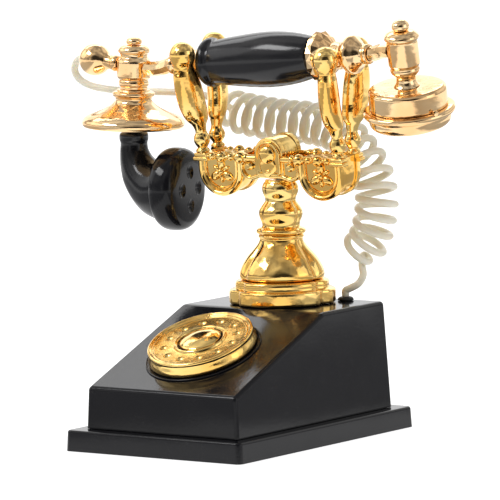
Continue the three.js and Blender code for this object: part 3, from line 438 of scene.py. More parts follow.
def finish_piece(name, form, board_matrix, finishes, body, stands_for, crease=38, flat=False):
    """Puts a drawn form in place as a piece that rides a body and stands for a CAD node."""
    finishes = finishes if isinstance(finishes, list) else [finishes]
    bmesh.ops.remove_doubles(form, verts=form.verts, dist=WELD)
    bmesh.ops.recalc_face_normals(form, faces=form.faces)
    bmesh.ops.transform(form, matrix=METRES @ board_matrix, verts=form.verts)
    mesh = bpy.data.meshes.new(name)
    form.to_mesh(mesh)
    form.free()
    for finish in finishes:
        mesh.materials.append(finish)
    mesh.shade_smooth()
    mesh.set_sharp_from_angle(angle=math.radians(crease))
    piece = bpy.data.objects.new(name, mesh)
    bpy.context.scene.collection.objects.link(piece)
    if flat:
        weighted = piece.modifiers.new("flat_walls", "WEIGHTED_NORMAL")
        weighted.keep_sharp = True
    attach(piece, body)
    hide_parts(stands_for)
    return piece


# %% [markdown]
# ## Lathe, saw and drill
#
# Most of this telephone came off a lathe. A lathe piece is a wire profile spun round an axis. The
# profile is drawn with few points. Gentle turns become a smooth line through their points, and
# sharp corners get a tiny bevel, as a polisher leaves them. Flat castings are sawn from a slab
# outline in the same manner. Holes and dimples are cut with a Boolean, which copes with any shape.
# What bends, such as a prong or the horn, is a circle extruded from stand to stand.

# %% Lathe
SLIGHT_TURN, STRAIGHT_TO_CURVE = 10, 3.5


def is_corner(before, here, after, gentle):
    """True where a profile really turns, and where a long straight meets a short curve."""
    angle = math.degrees((here - before).angle(after - here))
    short, long = sorted(((here - before).length, (after - here).length))
    return angle >= gentle or (angle > SLIGHT_TURN and long > STRAIGHT_TO_CURVE * short)


def lathe(profile, steps=72, edge=0.35, closed=False, gentle=52, curve=4):
    """Spins (radius, height) points round Z. A closed profile, of a ring, starts at a corner."""
    points = [Vector(point) for point in profile] + ([Vector(profile[0])] if closed else [])
    last = len(points) - 1
    corners = [0] + [
        i for i in range(1, last) if is_corner(points[i - 1], points[i], points[i + 1], gentle)
    ] + [last]
    line, sharp = [], []
    for start, end in zip(corners, corners[1:]):
        if closed or start:
            sharp.append(len(line))
        run = points[start : end + 1]
        line += (flowing(run, curve) if len(run) > 2 else run)[:-1]
    if not closed:
        line.append(points[-1])
    form = bmesh.new()
    dots = [form.verts.new((radius, 0, height)) for radius, height in line]
    for pair in zip(dots, dots[1:] + dots[:1] if closed else dots[1:]):
        form.edges.new(pair)
    if edge and sharp:
        bmesh.ops.bevel(
            form, geom=[dots[i] for i in sharp], offset=edge, offset_type="OFFSET", segments=3, profile=0.5,
            affect="VERTICES", clamp_overlap=True, material=-1,
        )
    bmesh.ops.spin(
        form, geom=form.verts[:] + form.edges[:], cent=(0, 0, 0), axis=(0, 0, 1), dvec=(0, 0, 0),
        angle=2 * math.pi, steps=steps, use_merge=True, use_duplicate=False,
    )
    bmesh.ops.remove_doubles(form, verts=form.verts, dist=0.002)
    return form


# %% Slab saw
def box_outline(left, right, low, high, round_low=0, round_high=0):
    """Four corners for the saw, with the roundings of the lower two and the upper two."""
    return [
        (left, low, round_low), (right, low, round_low),
        (right, high, round_high), (left, high, round_high),
    ]


def slab(corners, front, back, edge=0.5):
    """An upright slab in X and Z from (x, z, corner radius) points, its front edge rounded."""
    form = bmesh.new()
    dots = [form.verts.new((x, front, z)) for x, z, _ in corners]
    for pair in zip(dots, dots[1:] + dots[:1]):
        form.edges.new(pair)
    for dot, (_, _, radius) in zip(dots, corners):
        if radius:
            bmesh.ops.bevel(
                form, geom=[dot], offset=radius, offset_type="OFFSET", segments=10, profile=0.5,
                affect="VERTICES", clamp_overlap=True, material=-1,
            )
    bmesh.ops.remove_doubles(form, verts=form.verts, dist=0.05)
    face = bmesh.ops.contextual_create(form, geom=form.edges[:])["faces"][0]
    grown = bmesh.ops.extrude_face_region(form, geom=[face])
    moved = [item for item in grown["geom"] if isinstance(item, bmesh.types.BMVert)]
    bmesh.ops.translate(form, verts=moved, vec=(0, back - front, 0))
    if edge:
        rim = [e for e in form.edges if all(abs(v.co.y - front) < 1e-6 for v in e.verts)]
        bmesh.ops.bevel(
            form, geom=rim, offset=edge, offset_type="OFFSET", segments=3, profile=0.5,
            affect="EDGES", clamp_overlap=True, material=-1,
        )
    return form


# %% Joiner and drill
def joined(*forms):
    """Several forms in one mesh."""
    whole = bmesh.new()
    for form in forms:
        loose = bpy.data.meshes.new("loose")
        bmesh.ops.recalc_face_normals(form, faces=form.faces)
        form.to_mesh(loose)
        form.free()
        whole.from_mesh(loose)
        bpy.data.meshes.remove(loose)
    return whole


def carved(form, *cutters):
    """The form with the cutters' shapes taken out of it, by a Boolean on two objects made for it."""
    stand_ins = []
    for index, shape in enumerate((form, joined(*cutters))):
        bmesh.ops.recalc_face_normals(shape, faces=shape.faces)
        mesh = bpy.data.meshes.new(f"carving_{index}")
        shape.to_mesh(mesh)
        shape.free()
        stand_in = bpy.data.objects.new(mesh.name, mesh)
        bpy.context.scene.collection.objects.link(stand_in)
        stand_ins.append(stand_in)
    cut = stand_ins[0].modifiers.new("cut", "BOOLEAN")
    cut.operation, cut.solver, cut.object = "DIFFERENCE", "EXACT", stand_ins[1]
    shaped = stand_ins[0].evaluated_get(bpy.context.evaluated_depsgraph_get())
    whole = bmesh.new()
    whole.from_mesh(shaped.to_mesh())
    shaped.to_mesh_clear()
    for stand_in in stand_ins:
        mesh = stand_in.data
        bpy.data.objects.remove(stand_in)
        bpy.data.meshes.remove(mesh)
    return whole


def pin(radius, low, high, place, sides=48):
    """A plain round bar along Z, used as a drill."""
    form = bmesh.new()
    bmesh.ops.create_cone(
        form, cap_ends=True, segments=sides, radius1=radius, radius2=radius, depth=high - low,
    )
    bmesh.ops.transform(form, matrix=place @ shift(0, 0, (low + high) / 2), verts=form.verts)
    return form


# %% Sweep and ball
def swept(stands, corners):
    """A unit circle extruded from stand to stand; each stand is a matrix that places and sizes it."""
    form = bmesh.new()
    bmesh.ops.create_circle(form, cap_ends=True, radius=1, segments=corners)
    ring, face = form.verts[:], form.faces[:]
    bmesh.ops.transform(form, matrix=stands[0], verts=ring)
    for before, stand in zip(stands, stands[1:]):
        grown = bmesh.ops.extrude_face_region(form, geom=face)["geom"]
        ring = [item for item in grown if isinstance(item, bmesh.types.BMVert)]
        face = [item for item in grown if isinstance(item, bmesh.types.BMFace)]
        bmesh.ops.transform(form, matrix=stand @ before.inverted(), verts=ring)
    return form


def ball(radius, centre, squash=(1, 1, 1), lean=Matrix.Identity(4), rings=16):
    """A ball, squashed along its axes and then leaned, if it needs to be."""
    form = bmesh.new()
    bmesh.ops.create_uvsphere(form, u_segments=2 * rings, v_segments=rings, radius=radius)
    bmesh.ops.scale(form, vec=squash, verts=form.verts)
    bmesh.ops.transform(form, matrix=shift(*centre) @ lean, verts=form.verts)
    return form


# %% [markdown]
# ## Plinth
#
# The case stands on a low moulded plinth with softly rounded corners and walls that lean in a
# little, so the moulding leaves its tool. Underneath it is recessed for the bottom plate and felt.
# A cube with its corners bevelled is enough; the recess and the well for the bells are insets.

# %% Plinth
PLINTH = {"x": 69.5, "y": 98.4, "low": 0.5, "high": 14.1, "draft": 0.045}
LIP, PAD_RECESS, WELL_INSET, LID_INSET = 4, 2.7, 10.5, 14.5
CORNER_ROUND, RIM_ROUND = 4, 1.7


def build_plinth():
    form = bmesh.new()
    bmesh.ops.create_cube(form, size=2)
    height = PLINTH["high"] - PLINTH["low"]
    bmesh.ops.scale(form, vec=(PLINTH["x"], PLINTH["y"], height / 2), verts=form.verts)
    bmesh.ops.translate(form, vec=(0, 0, PLINTH["low"] + height / 2), verts=form.verts)
    lean = PLINTH["draft"] * height
    top = [v for v in form.verts if v.co.z > height / 2]
    bmesh.ops.scale(form, vec=(1 - lean / PLINTH["x"], 1 - lean / PLINTH["y"], 1), verts=top)
    upright = [e for e in form.edges if abs(e.verts[0].co.z - e.verts[1].co.z) > 1]
    under = [f for f in form.faces if f.normal.z < -0.9]
    lid = [f for f in form.faces if f.normal.z > 0.9]
    bmesh.ops.inset_region(form, faces=under, thickness=LIP, use_even_offset=True)
    grown = bmesh.ops.extrude_face_region(form, geom=under)["geom"]
    bmesh.ops.delete(form, geom=under, context="FACES_ONLY")
    under = [item for item in grown if isinstance(item, bmesh.types.BMFace)]
    bmesh.ops.translate(form, verts=under[0].verts[:], vec=(0, 0, PAD_RECESS))
    bmesh.ops.inset_region(form, faces=under, thickness=WELL_INSET, use_even_offset=True)
    bmesh.ops.inset_region(form, faces=lid, thickness=LID_INSET - lean, use_even_offset=True)
    well = [edge for face in under + lid for edge in face.edges]
    bmesh.ops.delete(form, geom=under + lid, context="FACES_ONLY")
    bmesh.ops.bridge_loops(form, edges=well)
    common = {
        "offset_type": "OFFSET", "profile": 0.5, "affect": "EDGES", "clamp_overlap": True, "material": -1,
    }
    bmesh.ops.bevel(form, geom=upright, offset=CORNER_ROUND, segments=8, **common)
    bmesh.ops.recalc_face_normals(form, faces=form.faces)
    at_top = [e for e in form.edges if all(v.co.z > PLINTH["high"] - 0.01 for v in e.verts)]
    rim = [
        e for e in at_top
        if any(abs(f.normal.z) < 0.5 and f.normal.dot(f.calc_center_median()) > 0 for f in e.link_faces)
    ]
    bmesh.ops.bevel(form, geom=rim, offset=RIM_ROUND, segments=5, **common)
    return form


plinth = finish_piece("plinth_moulding", build_plinth(), CASE, black, "root", "base_plinth", flat=True)
print("plinth faces:", len(plinth.data.polygons))

# %% [markdown]
# ## Case
#
# The wedge is one hollow moulding, three millimetres thick, with a sloping front for the dial. Its
# side outline is drawn once and extruded across. Solidify then gives the wall its thickness, and
# only the outer edges are rounded. Four holes are drilled: for the dial, the column and two cords.

# %% Case
CASE_OUTLINE = [
    (-87.43, CASE_FOOT), (-86.73, 41.1), (15.5, CASE_TOP), (85.52, CASE_TOP), (87.42, CASE_FOOT),
]
CASE_HALF_WIDTH, CASE_DRAFT, CASE_WALL, CASE_ROUND = 60, 0.05, 3, 2.6


def build_case():
    form = bmesh.new()
    dots = [form.verts.new((-CASE_HALF_WIDTH, y, z)) for y, z in CASE_OUTLINE]
    for pair in zip(dots, dots[1:] + dots[:1]):
        form.edges.new(pair)
    side = bmesh.ops.contextual_create(form, geom=form.edges[:])["faces"][0]
    grown = bmesh.ops.extrude_face_region(form, geom=[side])
    moved = [item for item in grown["geom"] if isinstance(item, bmesh.types.BMVert)]
    bmesh.ops.translate(form, verts=moved, vec=(2 * CASE_HALF_WIDTH, 0, 0))
    for vert in form.verts:
        vert.co.x *= 1 - CASE_DRAFT * (vert.co.z - CASE_FOOT) / CASE_HALF_WIDTH
    bmesh.ops.recalc_face_normals(form, faces=form.faces)
    under = [f for f in form.faces if f.normal.z < -0.9]
    bmesh.ops.delete(form, geom=under, context="FACES_ONLY")
    outer = [e for e in form.edges if not e.is_boundary]
    bmesh.ops.solidify(form, geom=form.faces[:], thickness=CASE_WALL)
    bmesh.ops.bevel(
        form, geom=[e for e in outer if e.is_valid], offset=CASE_ROUND, offset_type="OFFSET", segments=6,
        profile=0.5, affect="EDGES", clamp_overlap=True, material=-1,
    )
    return form


case_holes = [
    pin(31.4, -8, 8, DIAL, 96), pin(7, -14, 11, COLUMN),
    pin(4, -14, 11, CORD_OUTLET), pin(4.5, -18, 12, LINE_INLET),
]
case = finish_piece(
    "case_moulding", carved(build_case(), *case_holes), CASE, black, "root", "base_housing", flat=True,
)
print("case faces:", len(case.data.polygons))

# %% Bushings
line_bushing = lathe(
    [(1.6, -3.6), (4, -3.6), (4, 0), (6.2, 0), (6.2, 2.4), (1.6, 2.4)], steps=40, edge=0.4, closed=True,
)
finish_piece("line_cord_inlet", line_bushing, LINE_INLET, rubber, "root", "line_cord_bushing")
cord_bushing = lathe(
    [(0, -4), (3.7, -4), (3.7, 0.3), (5.2, 0.3), (5.2, 1.2), (4, 2.4), (0, 2.4)], steps=40, edge=0.3,
)
finish_piece("curly_cord_outlet", cord_bushing, CORD_OUTLET, rubber, "root", "cord_bushing")
print("two bushings")

# %% [markdown]
# ## Dial
#
# The dial is a gold finger wheel in a low black seat ring. Its face has a rolled rim, a field that
# was left as cast, twelve finger dimples, a raised bead and a domed centre plate. The wheel is one
# lathe profile, and twelve balls are taken out of it. The field gets the grainy finish, picked by
# how far each face lies from the axis.

# %% Dial
seat = lathe([
    (31.6, 0.3), (38.6, 0.3), (38.6, 0.7), (38.2, 1.0), (37.8, 1.0), (37.4, 0.6), (31.6, 0.6),
], steps=96, edge=0.1, closed=True)
finish_piece("dial_seat", seat, DIAL, black, "root", "dial_seat_ring")

FIELD_INNER, FIELD_OUTER, FIELD_LEVEL = 17.8, 30.4, 8.5
wheel = lathe([
    (3.4, 5.4), (28.6, 5.4), (30.4, 1.1), (35.4, 1.1), (36.0, 1.7), (36.1, 2.8), (35.8, 4.4), (35.3, 5.9),
    (34.9, 7.2), (34.8, 8.1), (35.1, 8.9), (34.9, 9.7), (34.2, 10.2), (33.4, 10.1), (32.8, 9.5), (32.2, 9.1),
    (31.5, 9.3), (30.9, 9.1), (FIELD_OUTER, FIELD_LEVEL), (FIELD_INNER, FIELD_LEVEL), (17.2, 9.7),
    (16.6, 10.1), (16.0, 9.8), (15.5, 9.1), (13.5, 9.1), (13.5, FIELD_LEVEL), (3.4, FIELD_LEVEL),
], steps=120, edge=0.25, closed=True)
finger_dimples = [ball(3.4, turn("Z", 30 * i) @ Vector((24.4, 0, 10.2))) for i in range(12)]
wheel = carved(wheel, *finger_dimples)
for face in wheel.faces:
    middle = face.calc_center_median()
    in_field = FIELD_INNER < middle.xy.length < FIELD_OUTER + 0.1
    face.material_index = int(in_field and -0.2 < middle.z - FIELD_LEVEL < 0.05)
finish_piece("dial_finger_wheel", wheel, DIAL, [gold, gold_cast], "dial", "dial_wheel", crease=32)

dome = lathe([
    (0, 8.8), (13.2, 8.8), (13.2, 9.3), (12.3, 9.8), (10.0, 10.6), (6.4, 11.4), (3.0, 11.75), (0, 11.8),
], steps=72, edge=0.2)
finish_piece("dial_dome", dome, DIAL, gold, "dial", "dial_centre_dome")
print("dial pieces: seat, finger wheel, dome")

# %% [markdown]
# ## Column
#
# The column is three castings on a steel tube: a foot, a bell and a shaft. Each is turned, then
# parted into three lobes by narrow grooves. A groove could be cut with a Boolean, but the casting is
# soft there, so the spun points are drawn in towards the axis instead, by how near each one lies to
# a groove. On the bell the groove is deepest half-way up and fades towards both ends.

# %% Lobed turning
BORE, GROOVE_ANGLE = 5, 7.5


def lobed(form, depth):
    """Draws a turned form in along three grooves; depth is a share of the radius at each height."""
    for vert in form.verts:
        if vert.co.xy.length < BORE:
            continue
        angle = math.degrees(math.atan2(vert.co.y, vert.co.x)) % 120
        away = min(angle, 120 - angle)
        share = 1 - depth(vert.co.z) * math.exp(-((away / GROOVE_ANGLE) ** 2))
        vert.co.x, vert.co.y = vert.co.x * share, vert.co.y * share
    return form


# %% Column castings
foot = lathe([
    (4.4, 0.3), (33.6, 0.3), (34.6, 0.9), (35, 2.0), (35, 8.0), (34.6, 9.1), (33.6, 9.7), (32.2, 9.9),
    (31.2, 10.4), (30.9, 11.4), (30.9, 13.4), (30.4, 14.8), (29.2, 15.5), (27.4, 15.7), (4.4, 15.7),
], steps=180, closed=True)
finish_piece("column_foot_casting", lobed(foot, lambda height: 0.10), COLUMN, gold, "root", "column_foot")

bell = lathe([
    (4.4, 16), (26.4, 16), (27.5, 16.8), (27.9, 18.2), (27.9, 20.2), (27.1, 22.8), (25.2, 26.8), (22.2, 31.2),
    (19.0, 34.8), (16.6, 37.6), (15.0, 40.0), (14.3, 42.0), (14.4, 42.9), (15.0, 43.7), (15.0, 44.6),
    (14.5, 45.2), (4.4, 45.2),
], steps=180, closed=True)


def fading_groove(height):
    """A shallow groove that is deepest half-way up the bell."""
    return 0.05 + 0.09 * max(0, math.sin(math.pi * (height - 17) / 25))


finish_piece("column_bell_casting", lobed(bell, fading_groove), COLUMN, gold, "root", "column_bell")

shaft = lathe([
    (4.4, 45.5), (14.9, 45.5), (15.9, 46.3), (16.3, 47.4), (15.9, 48.6), (14.7, 49.4), (13.1, 49.9),
    (12.4, 51.0), (12.7, 53.0), (13.7, 55.6), (14.4, 58.4), (14.2, 60.9), (13.0, 63.2), (11.3, 65.4),
    (10.1, 67.2), (10.2, 69.0), (11.2, 71.4), (11.9, 73.8), (11.9, 76.2), (11.1, 78.4), (10.0, 80.0),
    (9.6, 81.2), (4.4, 81.2),
], steps=150, closed=True)
finish_piece("column_shaft_casting", lobed(shaft, lambda height: 0.08), COLUMN, gold, "root", "column_shaft")
print("column castings: foot, bell, shaft")

# %% [markdown]
# ## Cradle plates
#
# Two identical ornamental castings face front and back. Each has a moulded U-shaped frame at either
# side with a flower in it, a beaded bar along the top, a scroll round each rivet and a domed plaque
# in the middle. Frames are slabs with their front face inset again and again, in and out. Petals are
# squashed balls, beads are one turned bar, and the scroll is a tube along a smooth line.

# %% Frame and flower
FRAME_X, FRAME_Z = 39.8, 4.3
PLATE_BACK = 1.5
FRAME_STEPS = (
    (0.5, -3.0), (0.7, -3.7), (0.8, -4.0), (0.8, -3.7), (0.7, -2.9), (0.4, -2.0), (0.4, -1.6), (0.5, -2.1),
    (0.5, -2.3), (0.4, -1.9), (0.4, -0.9),
)


def u_outline(side, radius, top):
    """Corners of a U: the two lower ones are rounded until they all but meet in the middle."""
    x = side * FRAME_X
    return box_outline(x - radius, x + radius, FRAME_Z - radius, top, radius - 0.01)


def moulded_frame(side):
    """U-shaped frame: each step goes in by its reach and on to its depth."""
    level = -2.2
    form = slab(u_outline(side, 17.3, 30), level, PLATE_BACK, edge=0)
    panel = min(form.faces, key=lambda face: face.calc_center_median().y)
    for reach, depth in FRAME_STEPS:
        bmesh.ops.inset_region(form, faces=[panel], thickness=reach, use_even_offset=True)
        bmesh.ops.translate(form, verts=list(panel.verts), vec=(0, depth - level, 0))
        level = depth
    bmesh.ops.bisect_plane(
        form, geom=form.verts[:] + form.edges[:] + form.faces[:], plane_co=(0, 0, 12.5), plane_no=(0, 0, 1),
        clear_outer=True,
    )
    bmesh.ops.holes_fill(form, edges=[e for e in form.edges if e.is_boundary], sides=0)
    return form


def flower(side):
    """Three broad petals and three narrow ones round a button."""
    x, z = side * FRAME_X, 3.2
    petals = [ball(2.2, (x, -2.2, z), (1, 0.9, 1), rings=10)]
    for angle in (0, 120, 240, 60, 180, 300):
        wide, deep, long = (3.0, 2.6, 4.4) if angle % 120 == 0 else (1.7, 1.9, 3.2)
        lean = turn("Y", angle)
        centre = Vector((x, -0.9, z)) + lean.to_3x3() @ Vector((0, 0, long + 1.0))
        petals.append(ball(1, centre, (wide, deep, long), lean, rings=10))
    return petals


# %% Beads and scroll
def bead_bar(side):
    """The turned bar along the top, laid along X."""
    def bead(at, radius):
        return [
            (radius * math.cos(math.radians(a)), at + radius * math.sin(math.radians(a)))
            for a in (-68, -45, -22, 0, 22, 45, 68)
        ]

    profile = [
        (0, 10), (2.2, 10), (2.2, 16.8), (2.9, 17.4), (2.9, 18.8), (1.5, 19.3), *bead(23.5, 4.0),
        *bead(31.0, 2.5), *bead(38.6, 3.6), *bead(46.0, 2.5), (1.4, 49.5), (0, 49.5),
    ]
    form = lathe(profile, steps=28, edge=0.2, gentle=60, curve=2)
    bmesh.ops.transform(form, matrix=shift(0, -2, 13.4) @ turn("Y", 90 * side), verts=form.verts)
    return form


def bent_bar(points, diameter, sides):
    """A bar along a smooth line, as a form."""
    made = tube_along("bar", flowing(points, 6), diameter, sides)
    form = bmesh.new()
    form.from_mesh(made.data)
    mesh = made.data
    bpy.data.objects.remove(made)
    bpy.data.meshes.remove(mesh)
    return form


# %% Plate
HALF_SCROLL = [
    (20.4, 10.8), (22.4, 9.4), (23.0, 6.4), (21.2, 2.0), (16.6, -0.2), (12.2, 0.9), (8.6, 1.8), (4, 1.9),
    (0, 1.9),
]
PLAQUE_FRONT = -4.6


def build_plaque():
    """The arched plaque with a sunk face and two domes on it."""
    form = slab(box_outline(-9.8, 9.8, 2.6, 25.4, 3, 9.79), PLAQUE_FRONT, -2.5, edge=0.7)
    in_front = [f for f in form.faces if abs(f.calc_center_median().y - PLAQUE_FRONT) < 0.01]
    panel = max(in_front, key=lambda face: face.calc_area())
    bmesh.ops.inset_region(form, faces=[panel], thickness=0.8, use_even_offset=True)
    bmesh.ops.inset_region(form, faces=[panel], thickness=0.6, use_even_offset=True)
    bmesh.ops.translate(form, verts=list(panel.verts), vec=(0, 0.8, 0))
    upper = ball(1, (0, -4.0, 16.6), (6.3, 3.4, 6.2))
    lower = ball(1, (0, -3.8, 8.6), (6.6, 1.5, 6.8))
    button = ball(1, (0.6, -5.0, 5.6), (2.3, 1.1, 1.2), rings=10)
    return joined(form, upper, lower, button)


def ledge(side):
    """The stepped block at the end of the bar that a prong stands on."""
    x = side * 54.35
    lower = slab(box_outline(x - 5.9, x + 5.9, 10.2, 12.9, 1.1, 1.1), -4.4, PLATE_BACK, 0.9)
    upper = slab(box_outline(x - 5.0, x + 5.0, 12.6, 15.6, 1.1, 1.1), -4.0, PLATE_BACK, 0.9)
    return joined(lower, upper)


def build_plate():
    web = slab([
        (-26, 12.5, 0), (-26, 2.2, 0), (-21, -0.4, 3), (-16.5, -1.6, 3), (-11, 0.4, 3), (11, 0.4, 3),
        (16.5, -1.6, 3), (21, -0.4, 3), (26, 2.2, 0), (26, 12.5, 0),
    ], -1.4, PLATE_BACK, edge=0.3)
    hood = slab(box_outline(-11, 11, 1, 27.4, 0, 10.99), -2.6, PLATE_BACK, edge=0.6)
    mirrored = [(-x, z) for x, z in reversed(HALF_SCROLL[:-1])]
    scroll = bent_bar([(x, -1.8, z) for x, z in HALF_SCROLL + mirrored], 2.9, sides=10)
    parts = [web, hood, build_plaque(), scroll]
    for side in (-1, 1):
        parts += [moulded_frame(side), *flower(side), bead_bar(side), ledge(side)]
    return joined(*parts)


for word, about in (("front", 0), ("rear", 180)):
    plate = finish_piece(
        f"cradle_plate_{word}_casting", build_plate(), CRADLE @ turn("Z", about) @ shift(0, -8.5, 0), gold,
        "cradle", f"cradle_{word}_plate",
    )
    print(word, "plate has", len(plate.data.polygons), "faces")

# %% [markdown]
# ## Between the plates
#
# Blocks with the same outlines as the frames fill the space between the plates, and an arched barrel
# sits on the column's plunger. Two rivets with faceted heads hold everything together. The blocks are
# plain slabs; a rivet is turned with only twelve steps and kept sharp, so it sparkles.

# %% Blocks, barrel and rivets
BLOCK = 6.7


def filler(side):
    lobe = slab(u_outline(side, 16.1, 14.6), -BLOCK, BLOCK, edge=0.5)
    left, right = sorted((side * 11.4, side * 30))
    arm = slab(box_outline(left, right, 2.5, 11.5, 0.5, 0.5), -BLOCK, BLOCK, edge=0.5)
    return joined(lobe, arm)


for word, side in (("left", -1), ("right", 1)):
    finish_piece(f"cradle_block_{word}", filler(side), CRADLE, gold, "cradle", f"cradle_lobe_{word}")
    rivet = lathe([
        (0, -13.1), (1.7, -12.8), (2.8, -11.4), (2.8, -10.2), (1.4, -10.2),
        (1.4, 10.2), (2.8, 10.2), (2.8, 11.4), (1.7, 12.8), (0, 13.1),
    ], steps=12, edge=0, gentle=5)
    finish_piece(
        f"cradle_rivet_faceted_{word}", rivet, CRADLE @ shift(side * 16.3, 0, 8.1) @ turn("X", 90), gold,
        "cradle", f"cradle_rivet_{word}", crease=12,
    )
barrel = slab(box_outline(-11, 11, 1.6, 26.6, 0, 10.99), -BLOCK, BLOCK, edge=0.5)
socket = pin(3.5, -12, 7.8, turn("X", -CRADLE_LEAN))
finish_piece("cradle_barrel_casting", carved(barrel, socket), CRADLE, gold, "cradle", "cradle_barrel")
print("blocks, barrel and rivets are in")

# %% [markdown]
# ## Prongs
#
# Four prongs rise from the ledges and spread apart to hold the grip: a small ball at the foot, a
# waist, a long leaf and a round knob. No lathe makes them, because the leaf is flat and leans. A
# circle is swept upward instead, each ring moved, sized and turned a little about the stem by its
# row in a table, after the table has been smoothed. Two shallow dimples mark the leaf's outer face.

# %% Prongs
PRONG_ROWS = [
    # height, out, across, half width, half depth
    (15.9, 8.5, 54.3, 4.4, 4.2), (16.7, 8.5, 54.3, 4.8, 4.6), (17.7, 8.5, 54.3, 4.3, 4.2),
    (18.8, 8.5, 54.3, 3.2, 3.2), (20.3, 8.5, 54.3, 4.1, 4.1), (22.2, 8.5, 54.3, 5.1, 5.1),
    (24.4, 8.5, 54.3, 5.5, 5.5), (26.6, 8.5, 54.3, 4.9, 4.9), (28.4, 8.6, 54.3, 3.9, 4.0),
    (30.0, 8.9, 54.3, 3.6, 3.8), (32.4, 9.5, 54.3, 4.1, 4.3), (34.8, 10.3, 54.4, 4.8, 5.2),
    (36.6, 10.9, 54.5, 5.6, 6.8), (39.4, 11.8, 54.6, 6.2, 8.3), (43.4, 13.0, 54.8, 6.5, 9.3),
    (48, 14.4, 55, 6.6, 9.9), (58, 16, 55.7, 6.6, 10.1), (68.5, 17.2, 56.5, 6.1, 8.9),
    (73.0, 17.7, 56.9, 5.6, 7.4), (75.0, 17.8, 57, 6.0, 7.2), (78.2, 18, 57, 7.8, 7.9),
    (82.3, 18, 57, 8.5, 8.5), (85.6, 18, 57, 7.8, 7.8), (88.4, 18, 57, 5.9, 5.9),
    (90.2, 18, 57, 3.2, 3.2), (90.8, 18, 57, 0.6, 0.6),
]
LEAF_TURN = 18


def build_prong(side, end):
    leaf_turn = turn("Z", -LEAF_TURN * side * end)
    stands = [
        shift(side * across, end * out, height) @ leaf_turn @ Matrix.Diagonal((half_width, half_depth, 1, 1))
        for height, out, across, half_width, half_depth in flowing(PRONG_ROWS, 3)
    ]
    upper = ball(2.4, (side * 57, end * 26.4, 71), rings=12)
    lower = ball(2.4, (side * 54.7, end * 20.2, 40.5), rings=12)
    return carved(swept(stands, 32), upper, lower)


for end_word, end in (("front", -1), ("rear", 1)):
    for side_word, side in (("left", -1), ("right", 1)):
        prong = finish_piece(
            f"prong_{end_word}_{side_word}_casting", build_prong(side, end), CRADLE, gold, "cradle",
            f"prong_{end_word}_{side_word}", crease=45,
        )
print("one prong has", len(prong.data.polygons), "faces")

# %% [markdown]
# ## Handset bar
#
# The grip is a black barrel that swells in the middle and ends in a rounded collar on the left. Paler
# gold fittings follow it on both sides: a rest collar, a cut knob that sparkles like glass, and a
# cone. All are turned about the handset's own axis, so the board is turned a quarter to lay the
# lathe's axis along X. The knob is spun in twenty steps, and every other corner is drawn in.

# %% Grip and fittings
BAR = HANDSET @ turn("Y", 90)
grip = lathe([
    (4.0, -51), (11.6, -51), (13.8, -50.4), (15.5, -49.0), (16.3, -47.0), (16.1, -45.0), (15.3, -43.2),
    (14.8, -41.4), (15.0, -38.6), (15.9, -31), (17.0, -20), (17.9, -9), (18.2, 2), (17.6, 13), (16.1, 24),
    (13.2, 36.6), (4.0, 36.6),
], steps=96, edge=0.5, closed=True, gentle=60)
finish_piece("grip_barrel", grip, BAR, worn_black, "handset", "handset_grip")

collar = lathe([
    (0, -79.6), (6.2, -79.6), (6.6, -78.8), (6.5, -77.2), (5.6, -75.8), (5.4, -74.4), (6.2, -72.6),
    (7.8, -70.2), (9.0, -67.8), (9.2, -65), (9.2, -55.4), (9.6, -53.4), (10.4, -52.5), (10.4, -51.3),
    (4.0, -51.3), (4.0, -75.3), (0, -75.3),
], steps=56, edge=0.3)
finish_piece("rest_collar_turned", collar, BAR, pale_gold, "handset", "rest_collar_left")


KNOB_FACETS = 20


def cut_knob():
    """A turned knob with every other point drawn in to its neighbours' chord, which cuts diamonds."""
    form = lathe([
        (4.0, 36.9), (13.4, 36.9), (16.6, 40.2), (16.6, 44.0), (13.4, 47.8), (8.6, 51.6), (4.0, 51.6),
    ], steps=KNOB_FACETS, edge=0, closed=True, gentle=1)
    step = 360 / KNOB_FACETS
    chord = math.cos(math.radians(step))
    for vert in form.verts:
        odd = round(math.degrees(math.atan2(vert.co.y, vert.co.x)) / step) % 2
        if vert.co.xy.length > 8 and odd == (39 < vert.co.z < 42 or 46 < vert.co.z < 50):
            vert.co.x, vert.co.y = vert.co.x * chord, vert.co.y * chord
    between_ends = [f for f in form.faces if 36.95 < f.calc_center_median().z < 51.5]
    bmesh.ops.triangulate(form, faces=between_ends)
    return form


finish_piece("grip_knob_cut", cut_knob(), BAR, pale_gold, "handset", "grip_knob", crease=4)

cone = lathe([
    (4.0, 51.9), (8.4, 51.9), (9.2, 53.2), (9.2, 59.4), (9.7, 61.4), (11.2, 63.4), (12.5, 65.2), (12.8, 66.8),
    (12.2, 68.4), (10.6, 70.2), (8.8, 72.0), (7.3, 74.0), (6.4, 75.8), (6.3, 77.0), (6.7, 78.2), (6.4, 79.6),
    (5.4, 80.2), (0, 80.2), (0, 77.3), (4.0, 77.3),
], steps=56, edge=0.3)
finish_piece("grip_cone_turned", cone, BAR, pale_gold, "handset", "grip_cone")
print("grip, collar, knob and cone are turned")

# %% [markdown]
# ## Handset rods
#
# Short bars join the grip to the two heads. Each was drawn to eight flats, bends a little and ends
# inside its head. An octagon is carried along the bend by a bevelled curve: a bevel of eight sides
# gives the flats, and sharp edges keep them.

# %% Rods
left_rod = bent_bar(
    [(-101.2, 0, -1.5), (-96, 0, -2.3), (-88, 0, -1.8), (-82, 0, -0.5), (-79.95, 0, -0.4)], 9.7, sides=8,
)
finish_piece("rod_left_flats", left_rod, HANDSET, pale_gold, "handset", "handset_rod_left", crease=20)
right_rod = bent_bar([(80.55, 0, 0), (82.6, 0, 0.1), (89, 0, 1.4), (95.5, 0, 1.4)], 9.7, sides=8)
finish_piece("rod_right_flats", right_rod, HANDSET, pale_gold, "handset", "handset_rod_right", crease=20)
print("two rods")

